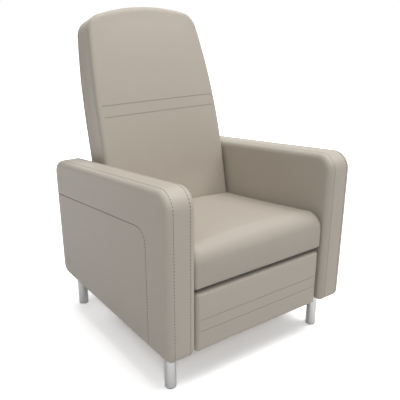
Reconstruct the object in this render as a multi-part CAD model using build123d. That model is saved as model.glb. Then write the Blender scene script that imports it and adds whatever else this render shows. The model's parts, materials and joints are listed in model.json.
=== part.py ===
"""Push-back recliner on four tubular legs, with a coupled reclining back and footrest.

Lengths are millimetres. X runs across the seat, with the right side at +X seen from the front,
Y runs from the front of the arms to the rear and Z is up from the floor. The outlines use
Y = 0 at the front of the arms, and the whole chair is centred on its depth when it is written.
"""
import os
from math import acos, atan2, cos, degrees, hypot, radians, sin, sqrt, tan

from build123d import *

# Overall sizes
overall_width = 753.0
arm_thickness = 103.0
arm_front_height = 694.0
arm_rear_height = 603.5
arm_underside = 139.0
arm_length = 796.0
arm_front_lean = 3.0
arm_rear_lean = 6.0
arm_front_top_radius = 58.0
arm_rear_top_radius = 50.0
arm_rear_bottom_radius = 42.0
arm_front_bottom_radius = 24.0
arm_edge_radius = 22.0
arm_band_width = 60.0
cover_depth = 10.0
cover_underside_depth = 4.0
arm_panel_thickness = 12.0
arm_timber_width = 38.0
insert_drop = 131.0
insert_setback = 121.5
insert_corner_radius = 46.0

# Legs
leg_diameter = 38.0
leg_wall = 1.5
leg_side_inset = 54.5
leg_front_setback = 82.0
leg_rear_inset = 56.0
leg_plate_size = 56.0
leg_plate_thickness = 3.0
leg_plate_radius = 8.0
glide_flange = 4.0
glide_rounding = 3.0
glide_plug_length = 22.0
leg_screw_spacing = 40.0
leg_screw_diameter = 5.0
leg_screw_length = 28.0
leg_screw_head_diameter = 9.0
leg_screw_head_height = 2.5

# Seat
seat_side_gap = 4.5
seat_front = 15.0
seat_base = 358.0
seat_front_height = 495.0
seat_top_slope = 7.7
seat_nose_radius = 48.0
seat_rear_radius = 16.0
seat_lower_radius = 4.0
seat_side_radius = 30.0
seat_corner_radius = 8.0
seat_crown = 10.0
seat_crease_gap = 2.0
deck_thickness = 9.0
deck_setback = 30.0
deck_rear_gap = 6.0
rail_height = 45.0
rail_thickness = 30.0
rail_front = 70.0
cross_rail_front = 262.0
cross_rail_thickness = 30.0
nose_rail_front = 66.0
nose_rail_thickness = 24.0
nose_rail_height = 24.0
nose_rail_side_gap = 43.5
seat_bolt_diameter = 8.0
seat_bolt_head_diameter = 13.0
seat_bolt_head_height = 5.3
seat_bolt_edge_gap = 9.0

# Back
back_side_gap = 8.0
back_thickness = 130.0
pivot_rear_distance = 201.0
pivot_height = 395.0
back_top_height = 763.5
back_line_shares = ((-0.017, 0.3471), (0.0747, 0.664), (0.1925, 1.0033))
back_bend_radius_shares = (3.14, 4.58)
back_crown_angle = 13.4
back_crown_radius_share = 2.63653
back_taper_start_share = 0.5946
back_taper_angle = 7.5
back_taper_radius_share = 4.19
back_corner_radius = 45.0
back_edge_radius = 15.0
back_joint_share = 0.888
rim_turn = 45.0
back_groove_diameter = 4.0
back_groove_depth = 1.2
back_stitch_shares = (0.5016, 0.554)
back_stitch_inset = 24.5

# Hinge and bearing of the back
hinge_thickness = 4.0
hinge_disc_diameter = 48.0
hinge_strap_width = 32.0
hinge_lever_width = 24.0
hinge_bolt_travels = (70.0, 130.0)
hinge_bolt_diameter = 8.0
hinge_bolt_length = 46.0
hinge_bolt_head_diameter = 13.0
hinge_bolt_head_height = 3.0
pivot_pin_diameter = 16.0
pivot_pin_reach = 44.0
pivot_clearance = 0.08
bearing_diameter = 30.0
bearing_reach = 46.0
bearing_flange_diameter = 56.0
bearing_flange_thickness = 3.0
pivot_block_length = 96.0
pivot_block_height = 104.0

# Frame and covers of the back
frame_depth_start = 72.0
frame_depth_end = 104.0
frame_side_inset = 16.0
frame_rail_width = 52.0
frame_mid_share = 0.432
frame_foot_height = 64.0

# Footrest
footrest_side_gap = 8.5
footrest_front = 17.0
footrest_gap = 15.0
footrest_height = 208.0
footrest_pad_depth = 22.0
footrest_board_thickness = 12.0
footrest_board_inset = 3.0
footrest_edge_radius = 9.0
footrest_swell = 2.5
footrest_stitch_drops = (93.0, 133.0)

# Links and drive rods, seen from the side
link_thickness = 4.0
layer_gap = 1.0
link_width = 19.0
link_pin_diameter = 10.0
link_clearance = 0.06
open_pin_clearance = 0.6
rod_width = 14.0
rod_pin_diameter = 8.0
rod_open_clearance = 4.2
rod_eye_offset = (1.4, -3.3)
rod_eye_wall = 4.0
rod_crank_radius = 108.3
rod_crank_angle = 18.0
side_plate_thickness = 4.0
side_plate_bolt_setbacks = (172.0, 232.0)
side_plate_height = 34.0
link_pivot_setback = 124.0
link_pivot_drop = 31.0
knee_offset = (23.9, -130.6)
lower_end_offset = (41.6, -152.8)
crank_pin_offset = (32.8, -35.9)
swing_pivot_offset = (-22.7, -38.3)
upper_tail_offset = (5.2, -150.2)
board_pivot_offset = (-52.0, -18.0)
board_control_offset = (-34.4, -40.0)
torque_tube_diameter = 20.0
torque_tube_wall = 2.0
bracket_flange_width = 20.0
bracket_flange_thickness = 3.0
bracket_flange_height = 96.0

# Rear of the base
rear_panel_thickness = 16.0
rear_panel_inset = 26.0
rear_panel_top = 440.0
rear_panel_base = 170.0
rear_panel_edge_radius = 6.0
rear_rail_thickness = 22.0
rear_rail_height = 60.0
rear_rail_base = 300.0

# Cuts run past the faces that they open by this much
overrun = 40.0

half_width = overall_width / 2
seat_opening = half_width - arm_thickness
arm_middle = half_width - arm_thickness / 2
leg_spread = half_width - leg_side_inset
leg_setbacks = (leg_front_setback, arm_length - leg_rear_inset)
deck_base = seat_base - deck_thickness
rail_base = deck_base - rail_height
rail_inner = seat_opening - rail_thickness
cross_rail_rear = cross_rail_front + cross_rail_thickness
back_half_width = seat_opening - back_side_gap
back_crown_radius = back_half_width * back_crown_radius_share
back_radius = back_thickness / 2
back_taper_start = back_top_height * back_taper_start_share
back_taper_radius = back_top_height * back_taper_radius_share
back_bend_radii = [back_top_height * share for share in back_bend_radius_shares]
back_joint_height = back_top_height * back_joint_share
pivot_setback = arm_length - pivot_rear_distance
pivot = (pivot_setback, pivot_height)
seat_rear = pivot_setback - back_radius - seat_crease_gap
deck_rear = seat_rear - deck_rear_gap
first_bolt = cross_rail_rear + seat_bolt_edge_gap
last_bolt = deck_rear - cross_rail_thickness - seat_bolt_edge_gap
seat_bolt_places = (first_bolt, (first_bolt + last_bolt) / 2, last_bolt)
footrest_half_width = seat_opening - footrest_side_gap
rear_panel_setback = arm_length - rear_panel_inset
rounding_turns = (0.0, 22.5, 45.0, 67.5, 90.0)
crown_shares = (-1.0, -0.75, -0.5, -0.25, 0.0, 0.25, 0.5, 0.75, 1.0)


def shifted(place, offset):
    return (place[0] + offset[0], place[1] + offset[1])


back_line_points = []
for share in back_line_shares:
    back_line_points.append(shifted(pivot, (back_top_height * share[0], back_top_height * share[1])))
link_pivot = (link_pivot_setback, deck_base - link_pivot_drop)
knee = shifted(link_pivot, knee_offset)
lower_end = shifted(link_pivot, lower_end_offset)
crank_pin = shifted(link_pivot, crank_pin_offset)
swing_pivot = shifted(link_pivot, swing_pivot_offset)
upper_tail = shifted(link_pivot, upper_tail_offset)
board_pivot = shifted(link_pivot, board_pivot_offset)
board_control = shifted(link_pivot, board_control_offset)
rod_crank_turn = radians(rod_crank_angle)
rod_crank = (rod_crank_radius * sin(rod_crank_turn), -rod_crank_radius * cos(rod_crank_turn))
rod_pivot = shifted(pivot, rod_crank)

written = {}


def keep(name, *solids):
    """Collect the solids of one sub-part under its name."""
    written[name] = list(solids)


def keep_pair(name, *solids):
    """Collect a right-hand sub-part and its mirror image on the left."""
    keep(name + "_right", *solids)
    keep(name + "_left", *[mirror(solid, about=Plane.YZ) for solid in solids])


def both_sides(*solids):
    """The given solids together with their mirror images."""
    return list(solids) + [mirror(solid, about=Plane.YZ) for solid in solids]


def side_face(points, radii):
    """A closed outline in Y and Z, with its corners rounded."""
    return make_face(FilletPolyline(*points, radius=radii, close=True))


def side_box(y_from, y_to, z_from, z_to, radius=0):
    return side_face(((y_from, z_from), (y_from, z_to), (y_to, z_to), (y_to, z_from)), radius)


def across(face, start, end):
    """Extrude a side outline along X between two places."""
    return extrude(Plane.YZ.offset(start) * face, amount=end - start)


def round_bar(place, diameter, start, end):
    """A round bar along X, centred on a place in the side view."""
    return across(Pos(*place) * Circle(diameter / 2), start, end)


def bar_face(place_a, place_b, width):
    """A round-ended bar between two places in the side view."""
    run = (place_b[0] - place_a[0], place_b[1] - place_a[1])
    middle = ((place_a[0] + place_b[0]) / 2, (place_a[1] + place_b[1]) / 2)
    turn = degrees(atan2(run[1], run[0]))
    return Pos(*middle) * Rot(0, 0, turn) * SlotOverall(hypot(*run) + width, width)


def soft_block(section, end_places, middle_places):
    """A padded block from its side outlines: a middle run between two ends with rounded edges."""
    middle = loft([Plane.YZ.offset(place[0]) * section(*place[1:]) for place in middle_places])
    end = loft([Plane.YZ.offset(place[0]) * section(*place[1:]) for place in end_places])
    return middle + end + mirror(end, about=Plane.YZ)


def meeting(start_a, along_a, start_b, along_b):
    """The place where two lines of the side view meet."""
    cross = along_a[0] * along_b[1] - along_a[1] * along_b[0]
    travel = ((start_b[0] - start_a[0]) * along_b[1] - (start_b[1] - start_a[1]) * along_b[0]) / cross
    return (start_a[0] + along_a[0] * travel, start_a[1] + along_a[1] * travel)


def moved_side(place_a, place_b, inset):
    """A side moved to the right of its direction, as a place and a direction."""
    length = hypot(place_b[0] - place_a[0], place_b[1] - place_a[1])
    along = ((place_b[0] - place_a[0]) / length, (place_b[1] - place_a[1]) / length)
    return (place_a[0] + along[1] * inset, place_a[1] - along[0] * inset), along


def inset_corners(corners, insets):
    """Move each side of a clockwise outline inwards by its own inset."""
    following = corners[1:] + corners[:1]
    sides = [moved_side(a, b, inset) for a, b, inset in zip(corners, following, insets)]
    return [meeting(*sides[index - 1], *sides[index]) for index in range(len(corners))]


def parallel_line(points, distance):
    """An open line of straight runs, moved to the right of its direction."""
    sides = [moved_side(a, b, distance) for a, b in zip(points, points[1:])]
    moved = [sides[0][0]]
    moved += [meeting(*before, *after) for before, after in zip(sides, sides[1:])]
    last, along = sides[-1]
    length = hypot(points[-1][0] - points[-2][0], points[-1][1] - points[-2][1])
    return moved + [(last[0] + along[0] * length, last[1] + along[1] * length)]


# Arms
arm_corners = (
    (arm_front_lean, arm_underside),
    (0, arm_front_height),
    (arm_length, arm_rear_height),
    (arm_length - arm_rear_lean, arm_underside),
)
arm_radii = (
    arm_front_bottom_radius,
    arm_front_top_radius,
    arm_rear_top_radius,
    arm_rear_bottom_radius,
)
arm_slope = (arm_rear_height - arm_front_height) / arm_length


def arm_outline(inset, underside_inset):
    corners = inset_corners(arm_corners, (inset, inset, inset, underside_inset))
    return side_face(corners, [radius - inset for radius in arm_radii])


def arm_top_at(setback, drop):
    """Height of a line that runs below the arm's top edge, at one setback."""
    return arm_front_height + arm_slope * setback - drop


def insert_face():
    """The rear lower region of the arm's outer side, inside its seam."""
    far = arm_length + overrun
    corners = (
        (insert_setback, 0),
        (insert_setback, arm_top_at(insert_setback, insert_drop)),
        (far, arm_top_at(far, insert_drop)),
        (far, 0),
    )
    return side_face(corners, (0, insert_corner_radius, 0, 0))


def seat_bolt_set():
    """Bolts that hold the seat's side rails and the footrest's side plates to the arm."""
    reach = seat_opening + cover_depth + arm_panel_thickness + arm_timber_width
    height = deck_base - rail_height / 2
    bolts = []
    for setback in seat_bolt_places + side_plate_bolt_setbacks:
        seat_face = rail_inner
        if setback in side_plate_bolt_setbacks:
            seat_face = rail_inner - side_plate_thickness
        shank = round_bar((setback, height), seat_bolt_diameter, seat_face, reach)
        head_start = seat_face - seat_bolt_head_height
        bolts.append(shank + round_bar((setback, height), seat_bolt_head_diameter, head_start, seat_face))
    return bolts


def leg_screw_set(setback):
    """Screws that hold one leg plate under the arm."""
    plate_base = arm_underside - leg_plate_thickness
    screws = []
    for side in (-1, 1):
        for end in (-1, 1):
            place = Pos(leg_spread + side * leg_screw_spacing / 2, setback + end * leg_screw_spacing / 2, 0)
            shank = Pos(0, 0, plate_base + leg_screw_length / 2)
            head = Pos(0, 0, plate_base - leg_screw_head_height / 2)
            screw = shank * Cylinder(leg_screw_diameter / 2, leg_screw_length)
            screw += head * Cylinder(leg_screw_head_diameter / 2, leg_screw_head_height)
            screws.append(place * screw)
    return screws


seat_bolts = seat_bolt_set()
leg_screws = leg_screw_set(leg_setbacks[0]) + leg_screw_set(leg_setbacks[-1])
bearing_bore = round_bar(pivot, bearing_diameter, seat_opening - overrun, seat_opening + bearing_reach)
arm_holes = seat_bolts + leg_screws + [bearing_bore]


def build_arm():
    outer = across(arm_outline(0, 0), seat_opening, half_width)
    inner_side = outer.faces().sort_by(Axis.X)[0]
    outer_side = outer.faces().sort_by(Axis.X)[-1]
    outer = fillet(inner_side.edges() + outer_side.edges(), arm_edge_radius)
    core_face = arm_outline(cover_depth, cover_underside_depth)
    core_start = seat_opening + cover_depth
    core_end = half_width - cover_depth
    cover = outer - across(core_face, core_start, core_end)

    band_start = arm_middle - arm_band_width / 2
    band_end = arm_middle + arm_band_width / 2
    everywhere = side_box(-overrun, arm_length + overrun, 0, arm_front_height + overrun)
    keep_pair("arm_inner_cover", (cover & across(everywhere, 0, band_start)) - arm_holes)
    keep_pair("arm_band", (cover & across(everywhere, band_start, band_end)) - arm_holes)
    outer_part = (cover & across(everywhere, band_end, half_width + overrun)) - arm_holes
    insert = across(insert_face(), band_end, half_width + overrun)
    keep_pair("arm_outer_cover", outer_part - insert)
    keep_pair("arm_outer_insert", outer_part & insert)

    timber_start = core_start + arm_panel_thickness
    timber_end = core_end - arm_panel_thickness
    keep_pair("arm_inner_panel", across(core_face, core_start, timber_start) - arm_holes)
    keep_pair("arm_outer_panel", across(core_face, timber_end, core_end) - arm_holes)
    keep_pair("arm_frame", *arm_timbers(core_face, timber_start, timber_end))


def arm_timbers(core_face, start, end):
    """The glued timbers between the two plywood sides of an arm."""
    front = cover_depth + arm_timber_width
    rear = arm_length - arm_rear_lean - cover_depth - arm_timber_width
    base = arm_underside + cover_underside_depth
    far = arm_length + overrun
    roof = arm_front_height + overrun
    below_top = (
        (front, arm_top_at(front, cover_depth + arm_timber_width)),
        (front, roof),
        (rear, roof),
        (rear, arm_top_at(rear, cover_depth + arm_timber_width)),
    )
    block_from = pivot_setback - pivot_block_length / 2
    block_to = pivot_setback + pivot_block_length / 2
    faces = (
        core_face & side_box(-overrun, front, 0, roof),
        core_face & side_box(rear, far, 0, roof),
        core_face & side_face(below_top, 0),
        side_box(front, rear, base, base + arm_timber_width),
        side_box(front, rear, rail_base, deck_base),
        side_box(block_from, block_to, deck_base, deck_base + pivot_block_height),
    )
    return [across(face, start, end) - arm_holes for face in faces]


# Legs
def build_leg(name, setback):
    place = Pos(leg_spread, setback, 0)
    plate_base = arm_underside - leg_plate_thickness
    bore = leg_diameter - 2 * leg_wall
    tube_length = plate_base - glide_flange
    tube = Pos(0, 0, glide_flange + tube_length / 2) * Cylinder(leg_diameter / 2, tube_length)
    tube -= Pos(0, 0, glide_flange + tube_length / 2) * Cylinder(bore / 2, tube_length)
    plate_face = RectangleRounded(leg_plate_size, leg_plate_size, leg_plate_radius)
    plate = extrude(Pos(0, 0, plate_base) * plate_face, amount=leg_plate_thickness)
    keep_pair(name, place * (tube + plate) - leg_screws)


def build_glides():
    bore = leg_diameter - 2 * leg_wall
    foot = Pos(0, 0, glide_flange / 2) * Cylinder(leg_diameter / 2, glide_flange)
    foot = fillet(foot.edges().group_by(Axis.Z)[0], glide_rounding)
    foot += Pos(0, 0, glide_flange + glide_plug_length / 2) * Cylinder(bore / 2, glide_plug_length)
    keep("leg_glides", *both_sides(*[Pos(leg_spread, setback, 0) * foot for setback in leg_setbacks]))


# Seat
def seat_section(inset, drop, rise):
    """A side outline of the seat cushion, drawn in at its front and lowered on top."""
    front = seat_front + inset
    slope = tan(radians(seat_top_slope))
    front_top = seat_front_height - drop + rise
    rear_top = front_top - slope * (seat_rear - seat_front)
    corners = ((front, seat_base), (front, front_top), (seat_rear, rear_top), (seat_rear, seat_base))
    return side_face(corners, (seat_lower_radius, seat_nose_radius, seat_rear_radius, 0))


def build_seat():
    half = seat_opening - seat_side_gap
    ends = []
    for turn in rounding_turns:
        drop = seat_side_radius * (1 - sin(radians(turn)))
        in_from_side = seat_side_radius * (1 - cos(radians(turn)))
        left_over = max(seat_corner_radius - in_from_side, 0)
        inset = seat_corner_radius - sqrt(seat_corner_radius ** 2 - left_over ** 2)
        ends.append((half - in_from_side, inset, drop, 0))
    flat_half = half - seat_side_radius
    middle = [(flat_half * share, 0, 0, seat_crown * (1 - share ** 2)) for share in crown_shares]
    keep("seat_cushion", soft_block(seat_section, ends, middle))

    keep("seat_deck", across(side_box(deck_setback, deck_rear, deck_base, seat_base), -half, half))
    side_rail = across(side_box(rail_front, deck_rear, rail_base, deck_base), rail_inner, seat_opening)
    keep_pair("seat_side_rail", side_rail - seat_bolts)
    front_rail = side_box(cross_rail_front, cross_rail_rear, rail_base, deck_base)
    keep("seat_front_rail", across(front_rail, -rail_inner, rail_inner))
    rear_rail = side_box(deck_rear - cross_rail_thickness, deck_rear, rail_base, deck_base)
    keep("seat_rear_rail", across(rear_rail, -rail_inner, rail_inner))
    nose_rail_rear = nose_rail_front + nose_rail_thickness
    nose = side_box(nose_rail_front, nose_rail_rear, deck_base - nose_rail_height, deck_base)
    nose_half_width = rail_inner - nose_rail_side_gap
    keep("seat_nose_rail", across(nose, -nose_half_width, nose_half_width))
    keep("seat_bolts", *both_sides(*seat_bolts))


# Back
def back_front_line():
    """The front of the back in side view, from where it leaves the round lower end to its top."""
    first = back_line_points[0]
    reach = hypot(first[0] - pivot[0], first[1] - pivot[1])
    heading = atan2(first[1] - pivot[1], first[0] - pivot[0])
    swing = heading + acos(back_radius / reach)
    start = (pivot[0] + back_radius * cos(swing), pivot[1] + back_radius * sin(swing))
    return [start, *back_line_points]


def back_layer(depth_start, depth_end):
    """The side outline between two depths behind the front of the back."""
    front_line = parallel_line(back_front_line(), depth_start)
    rear_line = parallel_line(back_front_line(), depth_end)
    front_radii = [radius - depth_start for radius in back_bend_radii]
    rear_radii = [radius - depth_end for radius in reversed(back_bend_radii)]
    return side_face(front_line + rear_line[::-1], [0, *front_radii, 0, 0, *rear_radii, 0])


def back_facing():
    """The plane of the front view of the back, through the pivot and along its upper part."""
    low_end, high_end = back_line_points[1:]
    lean = atan2(high_end[0] - low_end[0], high_end[1] - low_end[1])
    return Plane(origin=(0, *pivot), x_dir=(1, 0, 0), z_dir=(0, -cos(lean), sin(lean)))


def through_back(outline):
    return extrude(back_facing() * outline, amount=back_thickness + overrun, both=True)


def side_reach(half, travel):
    """Half the width of the back at a height above the pivot, on the tapered run of its sides."""
    return half - (travel - back_taper_start) * tan(radians(back_taper_angle))


def back_sides(inset, top):
    """The straight and tapered sides of the back in front view, up to a flat top."""
    half = back_half_width - inset
    right = ((half, -back_thickness), (half, back_taper_start), (side_reach(half, top), top))
    left = [(-x, travel) for x, travel in right]
    radii = (0, back_taper_radius, 0, 0, back_taper_radius, 0)
    return make_face(FilletPolyline(*right, *reversed(left), radius=radii, close=True))


def back_crest(inset, base):
    """The crowned top of the back in front view, with its round corners, down to a flat base."""
    half = back_half_width - inset
    taper = tan(radians(back_taper_angle))
    crown = tan(radians(back_crown_angle))
    apex = back_top_height - inset + back_crown_radius * (sqrt(1 + crown ** 2) - 1)
    corner_x = (half - (apex - back_taper_start) * taper) / (1 - crown * taper)
    right = ((side_reach(half, base), base), (corner_x, apex - corner_x * crown))
    left = [(-x, travel) for x, travel in right]
    corner_radius = back_corner_radius - inset
    radii = (0, corner_radius, back_crown_radius, corner_radius, 0)
    return make_face(FilletPolyline(*right, (0, apex), *reversed(left), radius=radii, close=True))


def back_front_view(inset):
    """The outline of the back seen square to its upper part: tapered, with a crowned top."""
    joint = back_joint_height
    return back_sides(inset, joint) + back_crest(inset, joint)


def hinge_bolt_set():
    middle = parallel_line(back_front_line(), (frame_depth_start + frame_depth_end) / 2)
    length = hypot(middle[1][0] - middle[0][0], middle[1][1] - middle[0][1])
    bolts = []
    head_start = back_half_width + hinge_thickness
    for travel in hinge_bolt_travels:
        share = travel / length
        run = (middle[1][0] - middle[0][0], middle[1][1] - middle[0][1])
        place = shifted(middle[0], (run[0] * share, run[1] * share))
        shank = round_bar(place, hinge_bolt_diameter, head_start - hinge_bolt_length, head_start)
        head = round_bar(place, hinge_bolt_head_diameter, head_start, head_start + hinge_bolt_head_height)
        bolts.append((place, shank + head))
    return bolts


def back_groove(height):
    """The row of a stitch line across the front of the back."""
    low, high = back_line_points[:2]
    share = (height - low[1]) / (high[1] - low[1])
    setback = low[0] + (high[0] - low[0]) * share
    place = (setback + back_groove_depth - back_groove_diameter / 2, height)
    groove_end = back_half_width - back_stitch_inset
    return round_bar(place, back_groove_diameter, -groove_end, groove_end)


def back_lower_body():
    """The curved body of the back with its long edges rounded, up to the straight upper run."""
    width = back_half_width + overrun
    body = across(back_layer(0, back_thickness), -width, width)
    body += round_bar(pivot, back_thickness, -width, width)
    body &= through_back(back_sides(0, back_top_height - back_edge_radius))
    body = fillet(rim_edges(body), back_edge_radius)
    return body & through_back(back_sides(-overrun, back_joint_height))


def back_upper_body():
    """The straight upper run of the back, crowned on top, with all its edges rounded."""
    facing = back_facing()
    low_end = back_line_points[1]
    ahead = Vector(0, *shifted(low_end, (-pivot[0], -pivot[1]))).dot(facing.z_dir)
    face = facing.offset(ahead - back_thickness) * back_crest(0, back_joint_height - overrun)
    body = extrude(face, amount=back_thickness)
    body = fillet(rim_edges(body), back_edge_radius)
    return body - through_back(back_sides(-overrun, back_joint_height))


def build_back():
    width = back_half_width + overrun
    body = back_lower_body() + back_upper_body()

    bolts = hinge_bolt_set()
    bolt_solids = both_sides(*[bolt for _, bolt in bolts])
    frame_blank = across(back_layer(frame_depth_start, frame_depth_end), -width, width)
    frame_blank &= through_back(back_front_view(frame_side_inset))
    rear_blank = across(back_layer(frame_depth_end, back_thickness + overrun), -width, width)
    rear_panel = body & rear_blank
    cushion = body - rear_blank - frame_blank - bolt_solids
    for share in back_stitch_shares:
        cushion -= back_groove(pivot_height + back_top_height * share)
    keep("back_cushion", cushion)
    keep("back_rear_panel", rear_panel)
    keep("back_frame", frame_blank - frame_windows() - bolt_solids)

    hinge = Pos(*pivot) * Circle(hinge_disc_diameter / 2)
    hinge += bar_face(pivot, bolts[-1][0], hinge_strap_width)
    hinge += bar_face(pivot, rod_pivot, hinge_lever_width)
    hinge_outer = back_half_width + hinge_thickness
    plate = across(hinge, back_half_width, hinge_outer)
    plate += round_bar(pivot, pivot_pin_diameter, hinge_outer, seat_opening + pivot_pin_reach)
    plate += round_bar(rod_pivot, rod_pin_diameter, layer(4)[0], back_half_width)
    keep_pair("back_hinge", plate - bolt_solids)
    keep("hinge_bolts", *bolt_solids)

    bore = pivot_pin_diameter + 2 * pivot_clearance
    flange_start = seat_opening - bearing_flange_thickness
    bearing = round_bar(pivot, bearing_diameter, seat_opening, seat_opening + bearing_reach)
    bearing += round_bar(pivot, bearing_flange_diameter, flange_start, seat_opening)
    keep_pair("back_bearing", bearing - round_bar(pivot, bore, 0, half_width))


def rim_edges(body):
    """The edges where the narrow sides of the back meet its front, its rear and its round lower end."""
    facing = back_facing().z_dir
    rim = []
    for face in body.faces():
        if abs(face.normal_at().dot(facing)) < sin(radians(rim_turn)) and face.center().Z > pivot_height:
            rim.append(face)
    edges = [edge for face in rim for edge in face.edges()]
    return [edge for edge in edges if sum(edge.is_same(other) for other in edges) == 1]


def frame_windows():
    """The two openings between the timbers of the back frame."""
    half = back_half_width - frame_side_inset - frame_rail_width
    top = back_top_height - frame_side_inset - frame_rail_width * 2
    top_half = half - (top - back_taper_start) * tan(radians(back_taper_angle))
    mid_height = back_top_height * frame_mid_share
    lower = (
        (-half, frame_foot_height),
        (-half, mid_height),
        (half, mid_height),
        (half, frame_foot_height),
    )
    upper_start = mid_height + frame_rail_width
    upper = ((-half, upper_start), (-top_half, top), (top_half, top), (half, upper_start))
    return [through_back(side_face(corners, 0)) for corners in (lower, upper)]


# Footrest linkage
def layer(number):
    """Where a plane of links lies along X, counted inwards from the side plate."""
    outer = rail_inner - side_plate_thickness - number * layer_gap - (number - 1) * link_thickness
    return (outer - link_thickness, outer)


def pin_hole(place, diameter, clearance=0):
    return round_bar(place, diameter + 2 * clearance, 0, half_width)


def build_side_plates():
    far_bolt = (side_plate_bolt_setbacks[-1], deck_base - rail_height / 2)
    face = bar_face(link_pivot, far_bolt, side_plate_height)
    face += bar_face(link_pivot, swing_pivot, side_plate_height)
    plate = across(face, rail_inner - side_plate_thickness, rail_inner) - seat_bolts
    link_stud = round_bar(link_pivot, link_pin_diameter, layer(3)[0], rail_inner)
    swing_stud = round_bar(swing_pivot, link_pin_diameter, layer(1)[0], rail_inner)
    keep_pair("linkage_side_plate", plate - link_stud - swing_stud)
    keep("linkage_studs", *both_sides(link_stud, swing_stud))


def build_lower_links():
    face = bar_face(link_pivot, knee, link_width) + bar_face(knee, lower_end, link_width)
    face += bar_face(link_pivot, crank_pin, link_width)
    end_pin = round_bar(lower_end, link_pin_diameter, layer(4)[0], layer(3)[1])
    rod_pin = round_bar(crank_pin, rod_pin_diameter, layer(4)[0], layer(3)[1])
    link = across(face, *layer(3)) - end_pin - rod_pin
    link -= pin_hole(link_pivot, link_pin_diameter, link_clearance)
    link -= pin_hole(knee, link_pin_diameter, link_clearance)
    keep_pair("lower_link", link)
    keep("lower_link_pins", *both_sides(end_pin, rod_pin))
    middle = ((link_pivot[0] + knee[0]) / 2, (link_pivot[1] + knee[1]) / 2)
    tube = round_bar(middle, torque_tube_diameter, -layer(3)[0], layer(3)[0])
    bore = torque_tube_diameter - 2 * torque_tube_wall
    keep("torque_tube", tube - round_bar(middle, bore, -half_width, half_width))


def build_upper_links():
    face = bar_face(board_pivot, knee, link_width) + bar_face(knee, upper_tail, link_width)
    knee_pin = round_bar(knee, link_pin_diameter, layer(3)[0], layer(2)[1])
    tail_pin = round_bar(upper_tail, link_pin_diameter, layer(2)[0], layer(1)[1])
    cross_rod = round_bar(board_pivot, link_pin_diameter, -layer(2)[1], layer(2)[1])
    keep_pair("upper_link", across(face, *layer(2)) - knee_pin - tail_pin - cross_rod)
    keep("upper_link_pins", *both_sides(knee_pin, tail_pin))
    keep("footrest_cross_rod", cross_rod)


def build_control_links():
    swing = across(bar_face(swing_pivot, upper_tail, link_width), *layer(1))
    swing -= pin_hole(swing_pivot, link_pin_diameter, link_clearance)
    keep_pair("swing_link", swing - pin_hole(upper_tail, link_pin_diameter, open_pin_clearance))
    tilt = across(bar_face(lower_end, board_control, link_width), *layer(4))
    tilt -= pin_hole(lower_end, link_pin_diameter, link_clearance)
    keep_pair("tilt_link", tilt - pin_hole(board_control, link_pin_diameter, open_pin_clearance))


def build_drive_rods():
    eye = shifted(crank_pin, rod_eye_offset)
    face = bar_face(rod_pivot, eye, rod_width)
    face += Pos(*eye) * Circle(rod_pin_diameter / 2 + rod_open_clearance + rod_eye_wall)
    face += Pos(*rod_pivot) * Circle(rod_pin_diameter / 2 + rod_eye_wall)
    rod = across(face, *layer(4)) - pin_hole(rod_pivot, rod_pin_diameter, link_clearance)
    keep_pair("drive_rod", rod - pin_hole(eye, rod_pin_diameter, rod_open_clearance))


# Footrest
footrest_top = seat_base - footrest_gap
footrest_base = footrest_top - footrest_height
footrest_board_front = footrest_front + footrest_pad_depth
footrest_rear = footrest_board_front + footrest_board_thickness


def corner_arc(centre, radius, turn_start, turn_end):
    """A round corner of a side outline, between two turns in degrees."""
    turns = [radians(turn) for turn in (turn_start, (turn_start + turn_end) / 2, turn_end)]
    return ThreePointArc(*[shifted(centre, (radius * cos(turn), radius * sin(turn))) for turn in turns])


def pad_section(inset):
    """A side outline of the footrest pad, swelling between its two stitch lines and its edges."""
    radius = footrest_edge_radius
    front = footrest_front + inset
    top = footrest_top - inset
    base = footrest_base + inset
    rear = footrest_board_front
    stitches = [footrest_top - drop for drop in reversed(footrest_stitch_drops)]
    heights = [base + radius, *stitches, top - radius]
    swells = []
    for low, high in zip(heights, heights[1:]):
        bulge = (front - footrest_swell, (low + high) / 2)
        swells.append(ThreePointArc((front, low), bulge, (front, high)))
    edges = [
        Line((rear, base), (front + radius, base)),
        corner_arc((front + radius, base + radius), radius, 270, 180),
        *swells,
        corner_arc((front + radius, top - radius), radius, 180, 90),
        Line((front + radius, top), (rear, top)),
        Line((rear, top), (rear, base)),
    ]
    return make_face(edges)


def build_footrest():
    ends = []
    for turn in rounding_turns:
        in_from_side = footrest_edge_radius * (1 - cos(radians(turn)))
        ends.append((footrest_half_width - in_from_side, footrest_edge_radius * (1 - sin(radians(turn)))))
    flat_half = footrest_half_width - footrest_edge_radius
    keep("footrest_pad", soft_block(pad_section, ends, [(-flat_half, 0), (flat_half, 0)]))
    half = footrest_half_width - footrest_board_inset
    low = footrest_base + footrest_board_inset
    high = footrest_top - footrest_board_inset
    keep("footrest_board", across(side_box(footrest_board_front, footrest_rear, low, high), -half, half))

    web = bar_face(board_pivot, board_control, link_width)
    web += side_box(footrest_rear, board_pivot[0], board_control[1], board_pivot[1] + link_width / 2)
    flange_middle = (board_pivot[1] + board_control[1]) / 2
    flange_low = flange_middle - bracket_flange_height / 2
    flange_high = min(flange_middle + bracket_flange_height / 2, high)
    flange = side_box(footrest_rear, footrest_rear + bracket_flange_thickness, flange_low, flange_high)
    bracket = across(web, *layer(3)) + across(flange, layer(3)[0] - bracket_flange_width, layer(3)[1])
    bracket -= pin_hole(board_pivot, link_pin_diameter, link_clearance)
    bracket += round_bar(board_control, link_pin_diameter, layer(4)[0], layer(3)[1])
    keep_pair("footrest_bracket", bracket)


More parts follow.
